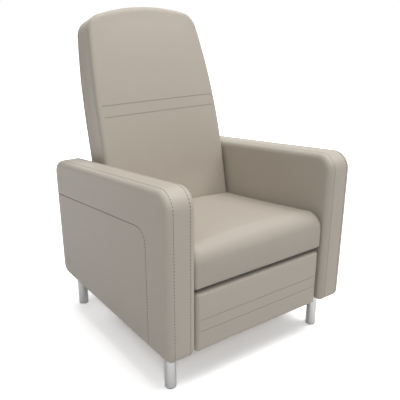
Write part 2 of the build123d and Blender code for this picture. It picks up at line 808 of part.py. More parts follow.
def build_rear():
    panel = side_box(
        rear_panel_setback,
        rear_panel_setback + rear_panel_thickness,
        rear_panel_base,
        rear_panel_top,
        rear_panel_edge_radius,
    )
    keep("rear_panel", across(panel, -seat_opening, seat_opening))
    rail_front_face = rear_panel_setback - rear_rail_thickness
    rail = side_box(rail_front_face, rear_panel_setback, rear_rail_base, rear_rail_base + rear_rail_height)
    keep("rear_rail", across(rail, -seat_opening, seat_opening))


def write_parts():
    """Centre the chair on its depth and write each sub-part."""
    boxes = [solid.bounding_box() for solids in written.values() for solid in solids]
    middle = (min(box.min.Y for box in boxes) + max(box.max.Y for box in boxes)) / 2
    centred = Pos(0, -middle, 0)
    os.makedirs("parts", exist_ok=True)
    for name, solids in written.items():
        pieces = [piece for solid in solids for piece in (centred * solid).solids()]
        export_step(pieces[0] if len(pieces) == 1 else Compound(children=pieces), "parts/" + name + ".step")
    print("middle", round(middle, 4), "sub-parts", len(written))


build_arm()
build_leg("leg_front", leg_setbacks[0])
build_leg("leg_rear", leg_setbacks[-1])
build_glides()
keep("leg_screws", *both_sides(*leg_screws))
build_seat()
build_rear()
build_back()
build_side_plates()
build_lower_links()
build_upper_links()
build_control_links()
build_drive_rods()
build_footrest()
write_parts()
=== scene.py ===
"""Looks of the recliner: upholstery, stitching, metal, floor, light and camera.

Shapes are worked out in millimetres with Y = 0 at the front of the arms, and moved to the frame's
metres when a mesh is made. On the back, a travel is a distance up its line and a depth lies behind it.
"""

import json
from math import acos, atan2, ceil, cos, exp, hypot, pi, radians, sin, sqrt, tan

import bmesh
import bpy
import numpy as np
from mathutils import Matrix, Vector
from mathutils.geometry import delaunay_2d_cdt


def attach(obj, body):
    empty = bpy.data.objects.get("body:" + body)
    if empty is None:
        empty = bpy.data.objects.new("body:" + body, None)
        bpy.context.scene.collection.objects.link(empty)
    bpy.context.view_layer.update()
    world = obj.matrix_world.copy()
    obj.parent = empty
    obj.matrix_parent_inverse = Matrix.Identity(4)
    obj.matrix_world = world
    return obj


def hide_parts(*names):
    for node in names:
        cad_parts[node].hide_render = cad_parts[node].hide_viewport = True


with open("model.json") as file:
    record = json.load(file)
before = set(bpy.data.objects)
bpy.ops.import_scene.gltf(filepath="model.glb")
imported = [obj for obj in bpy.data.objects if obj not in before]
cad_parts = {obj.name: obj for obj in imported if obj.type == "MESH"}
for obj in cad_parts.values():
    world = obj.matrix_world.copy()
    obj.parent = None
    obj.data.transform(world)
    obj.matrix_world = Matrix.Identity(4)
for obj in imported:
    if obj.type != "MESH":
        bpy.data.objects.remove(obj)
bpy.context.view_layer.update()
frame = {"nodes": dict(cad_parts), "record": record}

# Sizes shared with the frame, in millimetres and degrees
MIDDLE = 429.153
HALF_WIDTH = 376.5
ARM_THICKNESS = 103.0
SEAT_OPENING = HALF_WIDTH - ARM_THICKNESS
ARM_MIDDLE = HALF_WIDTH - ARM_THICKNESS / 2
ARM_CORNERS = ((3.0, 139.0), (0.0, 694.0), (796.0, 603.5), (790.0, 139.0))
ARM_RADII = (24.0, 58.0, 50.0, 42.0)
ARM_SLOPE = (ARM_CORNERS[2][1] - ARM_CORNERS[1][1]) / ARM_CORNERS[2][0]
ARM_EDGE = 22.0
BAND_HALF = 30.0
INSERT_DROP = 131.0
INSERT_SETBACK = 121.5
INSERT_RADIUS = 46.0

SEAT_HALF = SEAT_OPENING - 4.5
SEAT_FRONT = 15.0
SEAT_BASE = 358.0
SEAT_REAR = 528.0
SEAT_TOP = 495.0
SEAT_SLOPE = tan(radians(7.7))
SEAT_RADII = (9.0, 48.0, 16.0, 1.0)
SEAT_SIDE = 30.0
SEAT_CORNER = 10.0
SEAT_CROWN = 10.0

PIVOT = (595.0, 395.0)
BACK_RADIUS = 65.0
BACK_THICKNESS = 130.0
BACK_HALF = 265.5
BACK_TOP = 763.5
BACK_LINE_SHARES = ((-0.017, 0.3471), (0.0747, 0.664), (0.1925, 1.0033))
BACK_BENDS = (3.14 * BACK_TOP, 4.58 * BACK_TOP)
CROWN_ANGLE = 13.4
CROWN_RADIUS = 700.0
TAPER_START = 0.5946 * BACK_TOP
TAPER_ANGLE = 7.5
TAPER_RADIUS = 4.19 * BACK_TOP
ROLL_TOP = 70.0
REAR_PANEL_DEPTH = 104.0
BACK_STITCHES = (PIVOT[1] + 0.5016 * BACK_TOP, PIVOT[1] + 0.554 * BACK_TOP)
BACK_STITCH_HALF = 241.0

FOOT_HALF = 265.0
FOOT_FRONT = 17.0
FOOT_TOP = 343.0
FOOT_BASE = 135.0
FOOT_EDGE = 12.0
FOOT_DEPTH = 22.0
FOOT_CORNER = 12.0
FOOT_STITCHES = (250.0, 210.0)
FOOT_SEAM = 328.0
FOOT_STITCH_HALF = FOOT_HALF - 8.0

# Forms that only the looks have: the back's rounder top and rear, its swell and its edges
BACK_CORNER = 72.0
REAR_CORNER = 66.0
CROWN_RISE = 1.8
REAR_RISE = 6.0
REAR_TAPER = 0.5
REAR_THINNING_SHARE = 0.06
THINNING_START = 520.0
BACK_EDGE = 15.0
REAR_EDGE = 14.0
BACK_SWELL = 3.5
SWELL_REACH = 80.0
SWELL_START = 110.0
SWELL_RUN = 260.0
SIDE_SWELL = 1.6
PANEL_GAP = 0.4

# Rounded edges as (inset, depth from the face), and tucks into a seam
FRONT_EDGE = ((17.5, 0.0), (13.5, 0.3), (9.8, 1.3), (6.2, 3.4), (3.2, 6.4), (1.1, 10.4), (0.0, 16.0))
SEAM_EDGE = ((0.0, 4.5), (0.2, 3.0), (0.7, 1.6), (1.6, 0.6), (3.0, 0.0))
SIDE_DEPTHS = (27.0, 40.0, 54.0, 67.0, 80.0, 91.0)
SIDE_END = REAR_PANEL_DEPTH - SEAM_EDGE[0][1]
PANEL_EDGE = ((3.0, 0.0), (1.4, 0.3), (0.5, 1.2), (0.0, 2.6))
COVER_EDGE_END = 20.6
COVER_TUCK = ((20.9, 0.03), (21.48, 0.16), (21.5, 3.2))
BAND_TUCK = ((0.0, 3.2), (0.02, 0.16), (0.6, 0.03), (3.2, -0.05), (8.0, -0.3), (18.0, -0.5))
BAND_CROWN = -0.55
BAND_CROWN_BASE = 150.0
SEAM_OFFSETS = (-3.2, -1.6, -0.8, -0.3, 0.0, 0.3, 0.8, 1.6, 3.2)
CHANNEL_OFFSETS = (-5.0, -2.5, -1.0, 0.0, 1.0, 2.5, 5.0)
SEAM_DEPTH = 1.5
SEAM_REACH = 0.9
SEAM_FALLOFF = 0.9
CHANNEL_REACH = 1.7

STITCH_PITCH = 10.8
STITCH_LENGTH = 5.4
STITCH_RADIUS = 1.25
BACK_THREAD = {"pitch": 10.8, "length": 5.0, "radius": 1.6}
FOOT_THREAD = {"pitch": 9.4, "length": 4.4, "radius": 1.15}
RAY_START = 60.0
THREAD_WELD = 0.001
STITCH_SINK = 0.15
FOOT_SEAM_DEPTH = 0.9

# Where a cushion is held while it swells, and how much room it keeps
REST_REACH = 3.0
SEAT_SEWN = 6.0
BACK_SEWN = 14.0
FOOT_SEWN = 5.0
SIDE_ROOM = 1.0
SMALL_ROOM = 0.3
SEAT_FRONT_ROOM = 5.0
ARM_TRAVEL = 330.0
EVENING_ROUNDS = 12
SHIFT = (0.0, MIDDLE, 0.0)


def to_frame(point):
    return (point[0] / 1000, (point[1] - MIDDLE) / 1000, point[2] / 1000)


# Points and outlines in a plane
def unit(vector):
    length = hypot(*vector)
    return (vector[0] / length, vector[1] / length)


def direction(a, b):
    return unit((b[0] - a[0], b[1] - a[1]))


def between(a, b, share):
    return (a[0] + (b[0] - a[0]) * share, a[1] + (b[1] - a[1]) * share)


def moved(point, along, reach):
    return (point[0] + along[0] * reach, point[1] + along[1] * reach)


def meeting(p, d, q, e):
    """Where the line through p along d meets the line through q along e."""
    cross = d[0] * e[1] - d[1] * e[0]
    return moved(p, d, ((q[0] - p[0]) * e[1] - (q[1] - p[1]) * e[0]) / cross)


def spread(first, last, steps):
    """Evenly spaced numbers from the first to the last."""
    return [first + (last - first) * step / steps for step in range(steps + 1)]


def quarter_round(radius, steps):
    """A rounded edge as (inset, depth), from the face to the side."""
    return [(radius * (1 - sin(turn)), radius * (1 - cos(turn))) for turn in spread(0, pi / 2, steps)]


def round_corner(before, here, after, radius, steps):
    """Points round a corner, from one side to the other."""
    to_before, to_after = direction(here, before), direction(here, after)
    half = acos(max(-1, min(1, to_before[0] * to_after[0] + to_before[1] * to_after[1]))) / 2
    reach = radius / tan(half)
    start, end = moved(here, to_before, reach), moved(here, to_after, reach)
    bisector = unit((to_before[0] + to_after[0], to_before[1] + to_after[1]))
    centre = moved(here, bisector, radius / sin(half))
    first = atan2(start[1] - centre[1], start[0] - centre[0])
    last = atan2(end[1] - centre[1], end[0] - centre[0])
    sweep = (last - first + pi) % (2 * pi) - pi
    return [moved(centre, (cos(turn), sin(turn)), radius) for turn in spread(first, first + sweep, steps)]


def rounded_path(corners, radii, arc_steps, spacing):
    """Points along an open run of straight sides with round corners."""
    points = [corners[0]]
    for before, here, after, radius in zip(corners, corners[1:], corners[2:], radii):
        points += round_corner(before, here, after, radius, arc_steps)
    points.append(corners[-1])
    dense = [points[0]]
    for a, b in zip(points, points[1:]):
        steps = max(1, round(hypot(b[0] - a[0], b[1] - a[1]) / spacing))
        dense += [between(a, b, share) for share in spread(0, 1, steps)[1:]]
    return dense


def inset_corners(corners, inset):
    """The corners of a convex outline with every side moved inwards."""
    middle = (sum(c[0] for c in corners) / len(corners), sum(c[1] for c in corners) / len(corners))
    sides = []
    for a, b in zip(corners, corners[1:] + corners[:1]):
        along = direction(a, b)
        normal = (-along[1], along[0])
        if (middle[0] - a[0]) * normal[0] + (middle[1] - a[1]) * normal[1] < 0:
            normal = (-normal[0], -normal[1])
        sides.append((moved(a, normal, inset), along))
    return [meeting(*sides[index - 1], *sides[index]) for index in range(len(sides))]


class Outline:
    """A closed outline of straight sides and round corners, with matching points at every inset."""

    least_radius = 0.05
    least_gap_share = 0.4

    def __init__(self, corners, radii, spacing=14.0, arc_steps=10, extra=None):
        self.corners = list(corners)
        self.radii = radii
        self.arc_steps = arc_steps
        self.shares = []
        for index, (a, b) in enumerate(zip(self.corners, self.corners[1:] + self.corners[:1])):
            steps = max(1, ceil(hypot(b[0] - a[0], b[1] - a[1]) / spacing))
            shares = [step / steps for step in range(1, steps)]
            given = (extra or {}).get(index, [])
            clear = self.least_gap_share / steps
            shares = [share for share in shares if all(abs(share - other) > clear for other in given)]
            self.shares.append(sorted(shares + given))

    def arcs(self, inset):
        """The points of each round corner."""
        corners = inset_corners(self.corners, inset)
        neighbours = zip(corners[-1:] + corners[:-1], corners, corners[1:] + corners[:1], self.radii)
        return [round_corner(before, here, after, max(radius - inset, self.least_radius), self.arc_steps)
                for before, here, after, radius in neighbours]

    def loop(self, inset):
        arcs = self.arcs(inset)
        points = []
        for arc, following, shares in zip(arcs, arcs[1:] + arcs[:1], self.shares):
            points += arc + [between(arc[-1], following[0], share) for share in shares]
        return points


# Meshes
def inside(point, polygon):
    x, y = point
    a = polygon
    b = np.roll(polygon, -1, axis=0)
    passed = (a[:, 1] > y) != (b[:, 1] > y)
    with np.errstate(divide="ignore", invalid="ignore"):
        at = a[:, 0] + (y - a[:, 1]) * (b[:, 0] - a[:, 0]) / (b[:, 1] - a[:, 1])
    return bool(np.sum(passed & (x < at)) % 2)


def cap_mesh(loop, spacing, lines=()):
    """Triangles that fill a loop, with a lattice of inner points and given lines kept as edges."""
    row_share, clear_share = 0.98, 0.55
    count = len(loop)
    verts = [Vector(point) for point in loop]
    edges = [(index, (index + 1) % count) for index in range(count)]
    for line in lines:
        start = len(verts)
        verts += [Vector(point) for point in line]
        edges += [(start + index, start + index + 1) for index in range(len(line) - 1)]
    fixed = np.array([tuple(vert) for vert in verts])
    polygon = np.array(loop)
    low, high = polygon.min(axis=0), polygon.max(axis=0)
    for row in range(1, int((high[1] - low[1]) / spacing) + 1):
        for column in range(int((high[0] - low[0]) / spacing) + 1):
            shift = 0.5 if row % 2 else 0.0
            point = (low[0] + (column + shift) * spacing, low[1] + row * spacing * row_share)
            gap = np.min((fixed[:, 0] - point[0]) ** 2 + (fixed[:, 1] - point[1]) ** 2)
            if gap >= (spacing * clear_share) ** 2 and inside(point, polygon):
                verts.append(Vector(point))
    out_verts, _, out_faces, *_ = delaunay_2d_cdt(verts, edges, [list(range(count))], 1, 1e-5)
    return [tuple(vert) for vert in out_verts], [tuple(face) for face in out_faces]


class Skin:
    """Gathers the points and faces of one piece."""

    def __init__(self):
        self.points = []
        self.faces = []

    def cap(self, points, faces):
        start = len(self.points)
        self.points += points
        self.faces += [tuple(start + index for index in face) for face in faces]

    def ring_strip(self, rings, closed=True):
        size = len(rings[0])
        faces = []
        for level in range(len(rings) - 1):
            for index in range(size if closed else size - 1):
                a = level * size + index
                b = level * size + (index + 1) % size
                faces.append((a, b, b + size, a + size))
        self.cap([point for ring in rings for point in ring], faces)

    def build(self, name, outward=None, weld=0.02):
        mesh = bpy.data.meshes.new(name)
        bm = bmesh.new()
        verts = [bm.verts.new(to_frame(point)) for point in self.points]
        for face in self.faces:
            try:
                bm.faces.new([verts[index] for index in face])
            except ValueError:
                pass
        bmesh.ops.remove_doubles(bm, verts=bm.verts, dist=weld / 1000)
        bmesh.ops.dissolve_degenerate(bm, dist=1e-6, edges=bm.edges)
        bmesh.ops.recalc_face_normals(bm, faces=bm.faces)
        if outward is not None:
            facing = sum(outward(face.calc_center_median(), face.normal) * face.calc_area()
                         for face in bm.faces)
            if facing < 0:
                bmesh.ops.reverse_faces(bm, faces=bm.faces)
        bm.to_mesh(mesh)
        bm.free()
        mesh.polygons.foreach_set("use_smooth", [True] * len(mesh.polygons))
        piece = bpy.data.objects.new(name, mesh)
        bpy.context.scene.collection.objects.link(piece)
        return piece


def joined(skins):
    whole = Skin()
    for skin in skins:
        whole.cap(skin.points, skin.faces)
    return whole


def mirrored_skin(skin):
    twin = Skin()
    twin.points = [(-x, y, z) for x, y, z in skin.points]
    twin.faces = [tuple(reversed(face)) for face in skin.faces]
    return twin


def outward_from(centre):
    """Faces point away from a centre given in millimetres."""
    middle = Vector(to_frame(centre))
    return lambda place, normal: (place - middle).dot(normal)


# Stitches
def stitch_row(path, normals, pitch=STITCH_PITCH, length=STITCH_LENGTH, radius=STITCH_RADIUS, closed=False):
    """Short rounded threads along a path, each sunk a little in the cloth."""
    sides, rings = 7, 6
    lift_share, sink_share, flat_share = 0.35, 0.9, 0.8
    points = np.array(path, float)
    normals = np.array(normals, float)
    if closed:
        points = np.vstack([points, points[:1]])
        normals = np.vstack([normals, normals[:1]])
    run = np.concatenate([[0], np.cumsum(np.linalg.norm(np.diff(points, axis=0), axis=1))])
    count = int(run[-1] / pitch)
    step = run[-1] / count
    skin = Skin()
    for index in range(count):
        middle = (index + 0.5) * step
        start, centre, end = (
            np.array([np.interp(place, run, points[:, axis]) for axis in range(3)])
            for place in (middle - length / 2, middle, middle + length / 2))
        normal = np.array([np.interp(middle, run, normals[:, axis]) for axis in range(3)])
        normal /= np.linalg.norm(normal)
        along = (end - start) / np.linalg.norm(end - start)
        side = np.cross(normal, along)
        thread = []
        for ring, turn in enumerate(spread(0, pi, rings)):
            thick = radius * sin(turn) ** 0.5 if 0 < ring < rings else 0.0
            lift = (lift_share - sink_share * cos(turn) ** 2) * radius
            middle_point = centre - along * cos(turn) * length / 2 + normal * lift
            thread.append([
                tuple(middle_point + side * cos(angle) * thick + normal * sin(angle) * thick * flat_share)
                for angle in spread(0, 2 * pi, sides)[:-1]])
        skin.ring_strip(thread)
    return skin


def sewn_rows(piece, rows, along, thread):
    """Stitches where straight lines from each row of starts meet a piece."""
    bpy.context.view_layer.update()
    skins = []
    for starts in rows:
        hits = [piece.ray_cast(Vector(to_frame(start)), Vector(along)) for start in starts]
        path = [own_places(np.array(place)) for found, place, *_ in hits if found]
        skins.append(stitch_row(path, [[-share for share in along]] * len(path), **thread))
    return joined(skins)


# Arms
arm_outline = Outline(ARM_CORNERS, ARM_RADII)


def insert_seam(offset):
    """The seam on an arm's outer side, moved towards the insert by an offset, from the rear to the base."""
    rear, floor = 900.0, 60.0
    drop = INSERT_DROP + offset * sqrt(1 + ARM_SLOPE ** 2)

    def at(setback):
        return (setback, ARM_CORNERS[1][1] + ARM_SLOPE * setback - drop)

    corner = at(INSERT_SETBACK + offset)
    base = (corner[0], floor)
    arc = round_corner(at(rear), corner, base, INSERT_RADIUS - offset, 14)
    points = [between(at(rear), arc[0], share) for share in spread(0, 1, 50)[:-1]]
    return points + arc + [between(arc[-1], base, share) for share in spread(0, 1, 30)[1:]]


seam_line = np.array(insert_seam(0.0))


def seam_distance(point):
    """Distance to the insert's seam, positive on the insert's side."""
    y, z = point
    a = seam_line[:-1]
    run = seam_line[1:] - a
    share = np.clip(((y - a[:, 0]) * run[:, 0] + (z - a[:, 1]) * run[:, 1]) / np.sum(run ** 2, axis=1), 0, 1)
    near = a + run * share[:, None]
    gap = np.hypot(y - near[:, 0], z - near[:, 1])
    index = int(np.argmin(gap))
    side = run[index][0] * (z - near[index][1]) - run[index][1] * (y - near[index][0])
    return gap[index] * (1 if side > 0 else -1)


def seam_dip(point):
    """How far the cloth dips towards the insert's seam."""
    return SEAM_DEPTH * exp(-((abs(seam_distance(point)) / SEAM_REACH) ** SEAM_FALLOFF))


def crossing(line, a, b):
    """Where a line of points crosses the segment from a to b, as the share along the segment."""
    for p, q in zip(line, line[1:]):
        d = (b[0] - a[0], b[1] - a[1])
        e = (q[0] - p[0], q[1] - p[1])
        cross = d[0] * e[1] - d[1] * e[0]
        if abs(cross) < 1e-9:
            continue
        s = ((p[0] - a[0]) * e[1] - (p[1] - a[1]) * e[0]) / cross
        t = ((p[0] - a[0]) * d[1] - (p[1] - a[1]) * d[0]) / cross
        if 0 < s < 1 and 0 <= t <= 1:
            return s
    return None


def clip_to(line, polygon):
    """The part of a line inside a polygon, ending exactly on it."""
    kept = []
    poly = np.array(polygon)
    for p, q in zip(line, line[1:]):
        in_p, in_q = inside(p, poly), inside(q, poly)
        if in_p and not kept:
            kept.append(p)
        if in_p != in_q:
            for a, b in zip(polygon, polygon[1:] + polygon[:1]):
                share = crossing([p, q], a, b)
                if share is not None:
                    kept.append(between(a, b, share))
                    break
        if in_q:
            kept.append(q)
    return kept


def cover_profile():
    """From an arm's face over its rounded edge into the band's seam, as (depth, inset)."""
    edge = [(depth, inset) for inset, depth in quarter_round(ARM_EDGE, 9)]
    return [point for point in edge if point[0] < COVER_EDGE_END] + list(COVER_TUCK)


def inner_cover_skin():
    skin = Skin()
    skin.ring_strip([[(SEAT_OPENING + depth, y, z) for y, z in arm_outline.loop(inset)]
                     for depth, inset in cover_profile()])
    verts, faces = cap_mesh(arm_outline.loop(ARM_EDGE), 26.0)
    skin.cap([(SEAT_OPENING, y, z) for y, z in verts], faces)
    return skin


def band_skin():
    """The band between an arm's two seams, a little proud between them except at the base."""
    start, end = ARM_MIDDLE - BAND_HALF, ARM_MIDDLE + BAND_HALF
    profile = [(start + depth, inset) for depth, inset in BAND_TUCK] + [(ARM_MIDDLE, BAND_CROWN)]
    profile += [(end - depth, inset) for depth, inset in reversed(BAND_TUCK)]
    rings = []
    for x, inset in profile:
        even, proud = arm_outline.loop(max(inset, 0)), arm_outline.loop(inset)
        rings.append([(x, *(q if q[1] > BAND_CROWN_BASE else p)) for p, q in zip(even, proud)])
    skin = Skin()
    skin.ring_strip(rings)
    return skin


def outer_skins():
    """An arm's outer side, split along the insert's seam into a cover and an insert."""
    arcs = arm_outline.arcs(ARM_EDGE)
    extra = {}
    for side in (2, 3):
        a, b = arcs[side][-1], arcs[(side + 1) % 4][0]
        shares = [crossing(insert_seam(offset), a, b) for offset in SEAM_OFFSETS]
        extra[side] = sorted(share for share in shares if share is not None)
    outline = Outline(ARM_CORNERS, ARM_RADII, extra=extra)
    border = outline.loop(ARM_EDGE)
    verts, faces = cap_mesh(border, 20.0, [clip_to(insert_seam(offset), border) for offset in SEAM_OFFSETS])
    face_points = [(HALF_WIDTH - seam_dip(point), *point) for point in verts]
    face_groups = {True: [], False: []}
    for face in faces:
        y, z = (sum(verts[index][axis] for index in face) / len(face) for axis in range(2))
        face_groups[seam_distance((y, z)) > 0].append(face)

    profile = cover_profile()
    loops = [outline.loop(inset) for _, inset in profile]
    dips = [seam_dip(point) for point in loops[0]]
    edge_points = []
    for (depth, inset), loop in zip(profile, loops):
        turn = min(1.0, depth / ARM_EDGE)
        for (y, z), deeper, dip in zip(loop, outline.loop(inset + 1.0), dips):
            edge_points.append((
                HALF_WIDTH - depth - dip * (1 - turn),
                y + (deeper[0] - y) * dip * turn,
                z + (deeper[1] - z) * dip * turn,
            ))
    size = len(border)
    edge_groups = {True: [], False: []}
    for index, (here, after) in enumerate(zip(border, border[1:] + border[:1])):
        on_insert = seam_distance(between(here, after, 0.5)) > 0
        for level in range(len(profile) - 1):
            a = level * size + index
            b = level * size + (index + 1) % size
            edge_groups[on_insert].append((a, b, b + size, a + size))
    cover, insert = Skin(), Skin()
    for skin, on_insert in ((cover, False), (insert, True)):
        skin.cap(face_points, face_groups[on_insert])
        skin.cap(edge_points, edge_groups[on_insert])
    return cover, insert


def arm_stitches():
    """Two rows beside the band's seams and one beside the insert's seam."""
    beside, insert_sunk = 1.5, 0.25
    loop = arm_outline.loop(STITCH_SINK)
    normals = [(0.0, q[0] - p[0], q[1] - p[1]) for p, q in zip(loop, arm_outline.loop(-1.0))]
    skins = []
    for x in (ARM_MIDDLE - BAND_HALF + beside, ARM_MIDDLE + BAND_HALF - beside):
        skins.append(stitch_row([(x, y, z) for y, z in loop], normals, closed=True))
    line = clip_to(insert_seam(SEAM_OFFSETS[1]), arm_outline.loop(ARM_EDGE))
    path = [(HALF_WIDTH - insert_sunk, y, z) for y, z in line]
    skins.append(stitch_row(path, [(1.0, 0.0, 0.0)] * len(path)))
    return joined(skins)


# Seat
def seat_outline(inset, lift):
    """The seat in side view, drawn in at its front and lifted at its top."""
    front, front_top = SEAT_FRONT + inset, SEAT_TOP + lift
    rear_top = front_top - SEAT_SLOPE * (SEAT_REAR - SEAT_FRONT)
    corners = ((front, SEAT_BASE), (front, front_top), (SEAT_REAR, rear_top), (SEAT_REAR, SEAT_BASE))
    return Outline(corners, SEAT_RADII, spacing=16.0, arc_steps=12)


def seat_skin():
    """The seat's cushion: sections across it, with rounded sides and a crown between them."""
    side = []
    for drop, setback in quarter_round(SEAT_SIDE, 8):
        left_over = max(SEAT_CORNER - setback, 0)
        side.append((SEAT_HALF - setback, SEAT_CORNER - sqrt(SEAT_CORNER ** 2 - left_over ** 2), -drop))
    flat = SEAT_HALF - SEAT_SIDE
    top = [(x, 0.0, SEAT_CROWN * (1 - (x / flat) ** 2)) for x in spread(flat, -flat, 28)[1:-1]]
    shares = seat_outline(0.0, 0.0).shares
    rings = []
    for x, inset, lift in side + top + [(-x, inset, lift) for x, inset, lift in reversed(side)]:
        outline = seat_outline(inset, lift)
        outline.shares = shares
        rings.append([(x, y, z) for y, z in outline.loop(0)])
    skin = Skin()
    skin.ring_strip(rings)
    for ring in (rings[0], rings[-1]):
        verts, faces = cap_mesh([(y, z) for _, y, z in ring], 30.0)
        skin.cap([(ring[0][0], y, z) for y, z in verts], faces)
    return skin


def seat_wrap_skin():
    """The seat cover's lower edge, pulled round the front of the deck."""
    thickness = 0.9
    path = [(18.5, 358.9), (20.5, 356.6), (24.0, 355.2), (27.2, 353.6), (28.6, 351.0), (28.7, 349.4),
            (29.6, 348.4), (31.5, 348.0), (36.0, 348.0), (44.0, 348.0), (54.0, 348.0)]
    inner = []
    for before, here, after in zip(path[:1] + path[:-1], path, path[1:] + path[-1:]):
        along = direction(before, after)
        inner.append(moved(here, (-along[1], along[0]), thickness))
    loop = path + list(reversed(inner))
    half = SEAT_HALF - 2.0
    rings = [[(x, y, z) for y, z in loop] for x in spread(-half, half, 40)]
    skin = Skin()
    skin.ring_strip(rings)
    skin.faces += [range(len(loop)), range(len(skin.points) - len(loop), len(skin.points))]
    return skin


# Back
back_points = [moved(PIVOT, shares, BACK_TOP) for shares in BACK_LINE_SHARES]
LEAN = atan2(back_points[2][0] - back_points[1][0], back_points[2][1] - back_points[1][1])
UP = (sin(LEAN), cos(LEAN))
REARWARD = (cos(LEAN), -sin(LEAN))


def lay(point):
    """A place in Y and Z as (travel up the back, depth behind the pivot)."""
    y, z = point[0] - PIVOT[0], point[1] - PIVOT[1]
    return (y * UP[0] + z * UP[1], y * REARWARD[0] + z * REARWARD[1])


def unlay(travel, depth):
    return moved(moved(PIVOT, UP, travel), REARWARD, depth)


def back_side_lines():
    """Front and rear of the back in side view as (travel, depth) tables."""
    front_overrun, rear_overrun = 60.0, 400.0
    arc_steps, spacing = 24, 20.0
    first = back_points[0]
    reach = hypot(first[0] - PIVOT[0], first[1] - PIVOT[1])
    swing = atan2(first[1] - PIVOT[1], first[0] - PIVOT[0]) + acos(BACK_RADIUS / reach)
    corners = [moved(PIVOT, (cos(swing), sin(swing)), BACK_RADIUS)] + back_points
    front_corners = corners[:-1] + [moved(corners[-1], UP, front_overrun)]
    sides = []
    for a, b in zip(corners, corners[1:]):
        along = direction(a, b)
        sides.append((moved(a, (along[1], -along[0]), BACK_THICKNESS), along))
    rear_corners = [sides[0][0]] + [meeting(*side, *after) for side, after in zip(sides, sides[1:])]
    rear_corners.append(moved(*sides[-1], rear_overrun))
    front = rounded_path(front_corners, BACK_BENDS, arc_steps, spacing)
    rear = rounded_path(rear_corners, [bend - BACK_THICKNESS for bend in BACK_BENDS], arc_steps, spacing)
    return np.array([lay(point) for point in front]), np.array([lay(point) for point in rear])


front_line, rear_line = back_side_lines()


def line_depth(line, side, travel):
    """Depth of the back's front (side -1) or rear (side 1), which end in a round foot."""
    if travel < line[0][0]:
        return side * sqrt(max(BACK_RADIUS ** 2 - travel ** 2, 0.0))
    return float(np.interp(travel, line[:, 0], line[:, 1]))


def thinning(travel):
    """How much thinner the back is there than lower down."""
    return REAR_THINNING_SHARE * max(travel - THINNING_START, 0.0)


def front_depth(travel):
    return line_depth(front_line, -1, travel)


def rear_depth(travel):
    return line_depth(rear_line, 1, travel) - thinning(travel)


def panel_depth(travel):
    """Depth of the seam between the back's cushion and its rear panel."""
    return front_depth(travel) + REAR_PANEL_DEPTH - thinning(travel)


def travel_of_height(height):
    """Travel at which the back's front line reaches a height."""
    heights = [unlay(travel, depth)[1] for travel, depth in front_line]
    return float(np.interp(height, heights, front_line[:, 0]))


back_stitch_travels = [travel_of_height(height) for height in BACK_STITCHES]


def back_outline(inset, rearness=0.0):
    """The back in front view as (x, travel), from the right foot over the crown to the left foot."""
    half = BACK_HALF - inset
    lean_in = radians(TAPER_ANGLE + REAR_TAPER * rearness)
    rise = CROWN_RISE + (REAR_RISE - CROWN_RISE) * rearness
    radius = max(BACK_CORNER + (REAR_CORNER - BACK_CORNER) * rearness - inset, 0.5)
    taper = tan(lean_in)
    crown = tan(radians(CROWN_ANGLE))
    peak = CROWN_RADIUS * (sqrt(1 + crown ** 2) - 1)
    apex = BACK_TOP + rise - inset + peak
    corner_x = (half - (apex - TAPER_START) * taper) / (1 - crown * taper)
    corner = (corner_x, apex - corner_x * crown)

    bend = TAPER_START - TAPER_RADIUS * tan(lean_in / 2)
    path = [(half, travel) for travel in spread(ROLL_TOP, bend, 10)]
    for turn in spread(0, lean_in, 16)[1:]:
        path.append((half - TAPER_RADIUS * (1 - cos(turn)), bend + TAPER_RADIUS * sin(turn)))
    taper_top = path[-1]
    arc = round_corner(taper_top, corner, (0.0, apex), radius, 12)
    crown_half = CROWN_RADIUS * sin(radians(CROWN_ANGLE))
    crown_start = (crown_half, apex - crown_half * crown)
    path += [between(taper_top, arc[0], share) for share in spread(0, 1, 6)[1:]]
    path += arc[1:]
    path += [between(arc[-1], crown_start, share) for share in spread(0, 1, 4)[1:]]
    for turn in spread(radians(CROWN_ANGLE), 0, 12)[1:]:
        path.append((CROWN_RADIUS * sin(turn), apex - peak - CROWN_RADIUS * (1 - cos(turn))))
    return path + [(-x, travel) for x, travel in reversed(path[:-1])]


def edge_gap(x, travel):
    """Distance from the front outline of the back, roughly."""
    arc_half, arc_fall, fall_share = 162.0, 19.0, 0.24
    half = BACK_HALF - max(travel - TAPER_START, 0.0) * tan(radians(TAPER_ANGLE))
    if abs(x) < arc_half:
        top = BACK_TOP - x * x / (2 * CROWN_RADIUS)
    else:
        top = BACK_TOP - arc_fall - (abs(x) - arc_half) * fall_share
    return max(min(half - abs(x), top - travel), 0.0)


def back_lift(x, travel):
    """How far the padded front stands out, fading out towards the edges and the foot."""
    gap = max(edge_gap(x, travel) - FRONT_EDGE[0][0], 0.0)
    fade = min(max((travel - SWELL_START) / SWELL_RUN, 0.0), 1.0)
    return BACK_SWELL * (1 - exp(-(gap / SWELL_REACH) ** 2)) * fade * fade * (3 - 2 * fade)


def back_ring(inset, depth, place_at):
    """A ring round the back's outline at a depth behind its face, placed by its travel."""
    rearness = min(max(depth / REAR_PANEL_DEPTH, 0.0), 1.0)
    return [(x, *unlay(travel, place_at(travel))) for x, travel in back_outline(inset, rearness)]


def back_wall(profile, depth_at, towards_rear, base=0.0):
    """Rings beside a face of the back, for a profile of (inset, depth from the face)."""
    rings = []
    for inset, depth in profile:
        step = depth * towards_rear
        rings.append(back_ring(inset, base + step, lambda travel: depth_at(travel) + step))
    return rings


def side_rings(profile):
    """Rings of the back's side between its front edge and its seam, spread over the thickness there."""
    rings = []
    for inset, depth in profile:
        share = depth / REAR_PANEL_DEPTH
        rings.append(back_ring(
            inset, depth, lambda travel: front_depth(travel) * (1 - share) + panel_depth(travel) * share))
    return rings


